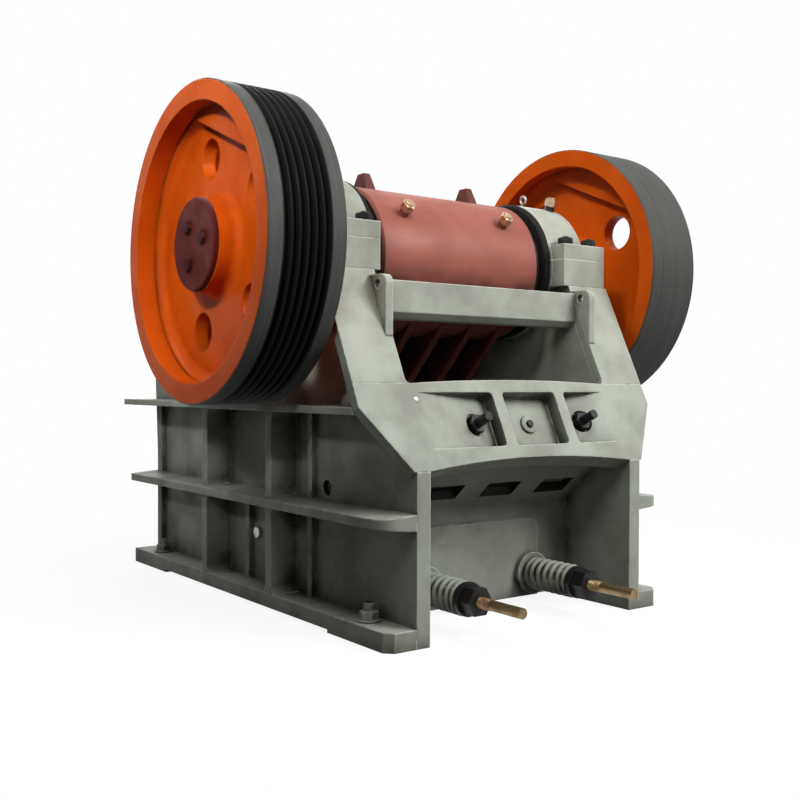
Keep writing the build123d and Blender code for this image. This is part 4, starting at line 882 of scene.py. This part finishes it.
class CRUSHER_OT_fit_beam_bolts(bpy.types.Operator):
    """Fits the boss and bolt in the middle pocket of the beam and the rivet on its face"""

    bl_idname = "crusher.fit_beam_bolts"
    bl_label = "Fit Beam Bolts"

    def execute(self, context):
        lean = math.radians(25.6)
        axis = np.array([0.0, -math.cos(lean), math.sin(lean)])
        at = self.on_beam(lean, 0.055, 0.634) - 0.046 * axis
        boss = lathe([(0.0, 0.0), (0.03, 0.0), (0.028, 0.007), (0.025, 0.009), (0.0, 0.009)], at, axis)
        piece("beam_boss", [boss], "frame", finish("frame_paint"))
        head = hex_body(0.022, 0.008, at + 0.009 * axis, axis, 0.2)
        piece("beam_boss_bolt", [head], "frame", finish("dark_steel"))
        dome = np.concatenate([[(0.0, 0.0)], dome_profile(0.011, 0.006)])
        rivet = lathe(dome, self.on_beam(lean, -0.395, 0.699), axis)
        piece("beam_rivet", [rivet], "frame", finish("bright_steel"))
        return {"FINISHED"}

    def on_beam(self, lean, x, z):
        """Place on the leaning rear face of the beam at a height."""
        knee_z = 0.497
        return np.array([x, SHAFT_AT[1] - 0.592 + math.tan(lean) * (z - knee_z), z])


class CRUSHER_OT_fit_wall_bolts(bpy.types.Operator):
    """Fits the bolt of the cheek plate on the outside of each side wall"""

    bl_idname = "crusher.fit_wall_bolts"
    bl_label = "Fit Wall Bolts"

    def execute(self, context):
        for side, sign in SIDES:
            axis = np.array([sign, 0.0, 0.0])
            wall = max(abs(BOX[f"{side}_side_wall"][0][0]), abs(BOX[f"{side}_side_wall"][1][0]))
            at = np.array([sign * wall, SHAFT_AT[1] + 0.327, 0.221])
            head = hex_body(0.036, 0.016, at, axis, 0.3)
            piece(f"{side}_wall_bolt", [head], "frame", finish("bright_steel"))
        return {"FINISHED"}


# Stage


def aim(obj, at, target):
    """Places a lamp and turns its -Z towards a target."""
    at = np.asarray(at, float)
    across, up, along = basis(at - np.asarray(target, float))
    turned = Matrix(np.stack([across, up, along], axis=1).tolist()).to_4x4()
    turned.translation = at.tolist()
    obj.matrix_world = turned


def soft_lamp(name, at, target, size, power, spread=180.0):
    """Square soft lamp aimed at a target, its light kept within a spread in degrees."""
    lamp = bpy.data.lights.new(name, "AREA")
    lamp.shape = "RECTANGLE"
    lamp.size, lamp.size_y = size
    lamp.energy = power
    lamp.spread = math.radians(spread)
    obj = bpy.data.objects.new(name, lamp)
    bpy.context.scene.collection.objects.link(obj)
    aim(obj, at, target)
    return obj


def seen_directly(tree):
    """1 for rays from the camera and for those seen in gloss or glass, otherwise 0."""
    path = tree.nodes.new("ShaderNodeLightPath").outputs
    either = add_math(tree, "MAXIMUM", path["Is Camera Ray"], path["Is Glossy Ray"])
    return add_math(tree, "MAXIMUM", either, path["Is Transmission Ray"])


def white_surround():
    """World that is white where it is seen and a dim grey where it lights the machine."""
    world = bpy.data.worlds.new("studio")
    world.use_nodes = True
    bpy.context.scene.world = world
    tree = world.node_tree
    shader = tree.nodes["Background"]
    tree.links.new(add_mix(tree, seen_directly(tree), (0.03, 0.03, 0.03), (1.0, 1.0, 1.0)), shader.inputs["Color"])
    shader.inputs["Strength"].default_value = 1.0


def floor_finish(grey):
    """Floor that looks white, keeps the machine's shadow near it and lights the machine as a plain grey."""
    material = bpy.data.materials.new("studio_floor")
    material.use_nodes = True
    tree = material.node_tree
    tree.nodes.remove(tree.nodes["Principled BSDF"])
    plain = tree.nodes.new("ShaderNodeBsdfDiffuse")
    plain.inputs["Color"].default_value = tuple(grey) + (1.0,)
    pale = tree.nodes.new("ShaderNodeBsdfDiffuse")
    pale.inputs["Color"].default_value = (0.16, 0.16, 0.16, 1.0)
    glow = tree.nodes.new("ShaderNodeEmission")
    glow.inputs["Color"].default_value = (0.9, 0.9, 0.9, 1.0)
    both = tree.nodes.new("ShaderNodeAddShader")
    tree.links.new(pale.outputs[0], both.inputs[0])
    tree.links.new(glow.outputs[0], both.inputs[1])
    clear = tree.nodes.new("ShaderNodeEmission")
    length = tree.nodes.new("ShaderNodeVectorMath")
    length.operation = "LENGTH"
    tree.links.new(tree.nodes.new("ShaderNodeTexCoord").outputs["Object"], length.inputs[0])
    fade = tree.nodes.new("ShaderNodeMixShader")
    tree.links.new(add_ramp(tree, length.outputs["Value"], 1.2, 2.4), fade.inputs[0])
    tree.links.new(both.outputs[0], fade.inputs[1])
    tree.links.new(clear.outputs[0], fade.inputs[2])
    pick = tree.nodes.new("ShaderNodeMixShader")
    tree.links.new(seen_directly(tree), pick.inputs[0])
    tree.links.new(plain.outputs[0], pick.inputs[1])
    tree.links.new(fade.outputs[0], pick.inputs[2])
    tree.links.new(pick.outputs[0], tree.nodes["Material Output"].inputs["Surface"])
    return material


class CRUSHER_OT_set_stage(bpy.types.Operator):
    """Lays the floor, hangs the lamps and places the camera"""

    bl_idname = "crusher.set_stage"
    bl_label = "Set Stage"

    def execute(self, context):
        stage = context.scene.crusher_stage
        reach = 30.0
        line = np.linspace(-reach, reach, 9)
        x, y = np.meshgrid(line, line, indexing="ij")
        points = np.stack([x, y, np.full_like(x, -0.0005)], axis=-1).reshape(-1, 3)
        mesh = bpy.data.meshes.new("studio_floor")
        mesh.from_pydata(points, [], grid_faces(9, 9, False, 0)[:, ::-1])
        floor = bpy.data.objects.new("studio_floor", mesh)
        context.scene.collection.objects.link(floor)
        floor.data.materials.append(floor_finish(tuple(stage.floor_grey)))
        white_surround()
        middle = (0.0, -0.3, 0.8)
        soft_lamp("key_lamp", (2.1, -4.1, 3.7), middle, (2.2, 2.0), stage.key_power)
        soft_lamp("fill_lamp", (-1.2, -3.2, 4.6), middle, (2.0, 2.0), stage.fill_power)
        soft_lamp("front_lamp", (1.4, 4.0, 3.8), middle, (2.4, 2.0), stage.front_power)
        soft_lamp("side_lamp", (-2.3, 0.6, 5.0), (-0.7, -0.3, 1.1), (1.6, 1.6), stage.side_power)
        soft_lamp("face_lamp", (-3.8, -2.7, 2.8), (-0.85, -0.3, 1.4), (0.5, 0.5), stage.face_power, 24.0)
        soft_lamp("inner_lamp", (-2.4, -1.2, 4.4), (0.7, -0.35, 1.3), (0.5, 0.5), stage.inner_power, 20.0)
        self.place_camera(context, stage)
        context.scene.view_settings.view_transform = "Standard"
        return {"FINISHED"}

    def place_camera(self, context, stage):
        """Camera with right, up and back axes worked out from its yaw, pitch and roll."""
        yaw, pitch, roll = stage.camera_yaw, stage.camera_pitch, stage.camera_roll
        ahead = np.array([math.sin(yaw) * math.cos(pitch), math.cos(yaw) * math.cos(pitch), math.sin(pitch)])
        right = np.array([math.cos(yaw), -math.sin(yaw), 0.0])
        up = np.cross(right, ahead)
        rolled_right = right * math.cos(roll) + up * math.sin(roll)
        rolled_up = up * math.cos(roll) - right * math.sin(roll)
        turned = Matrix(np.stack([rolled_right, rolled_up, -ahead], axis=1).tolist()).to_4x4()
        turned.translation = tuple(stage.camera_at)
        camera = bpy.data.cameras.new("camera")
        camera.sensor_width = 36.0
        camera.lens = stage.lens
        obj = bpy.data.objects.new("camera", camera)
        context.scene.collection.objects.link(obj)
        obj.matrix_world = turned
        context.scene.camera = obj


OPERATORS = (
    CRUSHER_OT_mix_finishes,
    CRUSHER_OT_wind_springs,
    CRUSHER_OT_cut_threads,
    CRUSHER_OT_fit_plug_bolts,
    CRUSHER_OT_fit_cap_studs,
    CRUSHER_OT_fit_cover_bolts,
    CRUSHER_OT_fit_anchor_bolts,
    CRUSHER_OT_fit_beam_bolts,
    CRUSHER_OT_fit_wall_bolts,
    CRUSHER_OT_set_stage,
)


class CRUSHER_PT_dressing(bpy.types.Panel):
    """Settings and steps of the crusher's dressing."""

    bl_label = "Jaw Crusher"
    bl_space_type = "VIEW_3D"
    bl_region_type = "UI"
    bl_category = "Crusher"

    def draw(self, context):
        for settings in (context.scene.crusher_paint, context.scene.crusher_fasteners, context.scene.crusher_stage):
            column = self.layout.column()
            for name in settings.__annotations__:
                column.prop(settings, name)
        for operator in OPERATORS:
            self.layout.operator(operator.bl_idname)


CLASSES = (PaintSettings, FastenerSettings, StageSettings) + OPERATORS + (CRUSHER_PT_dressing,)


def register():
    """Registers the classes and hangs the settings on the scene."""
    for cls in CLASSES:
        bpy.utils.register_class(cls)
    bpy.types.Scene.crusher_paint = bpy.props.PointerProperty(type=PaintSettings)
    bpy.types.Scene.crusher_fasteners = bpy.props.PointerProperty(type=FastenerSettings)
    bpy.types.Scene.crusher_stage = bpy.props.PointerProperty(type=StageSettings)


def unregister():
    """Removes the settings and the classes."""
    del bpy.types.Scene.crusher_stage
    del bpy.types.Scene.crusher_fasteners
    del bpy.types.Scene.crusher_paint
    for cls in reversed(CLASSES):
        bpy.utils.unregister_class(cls)


def main():
    """Dresses the machine step by step."""
    register()
    bpy.ops.crusher.mix_finishes()
    bpy.ops.crusher.wind_springs()
    bpy.ops.crusher.cut_threads()
    bpy.ops.crusher.fit_plug_bolts()
    bpy.ops.crusher.fit_cap_studs()
    bpy.ops.crusher.fit_cover_bolts()
    bpy.ops.crusher.fit_anchor_bolts()
    bpy.ops.crusher.fit_beam_bolts()
    bpy.ops.crusher.fit_wall_bolts()
    bpy.ops.crusher.set_stage()


if __name__ == "__main__":
    main()
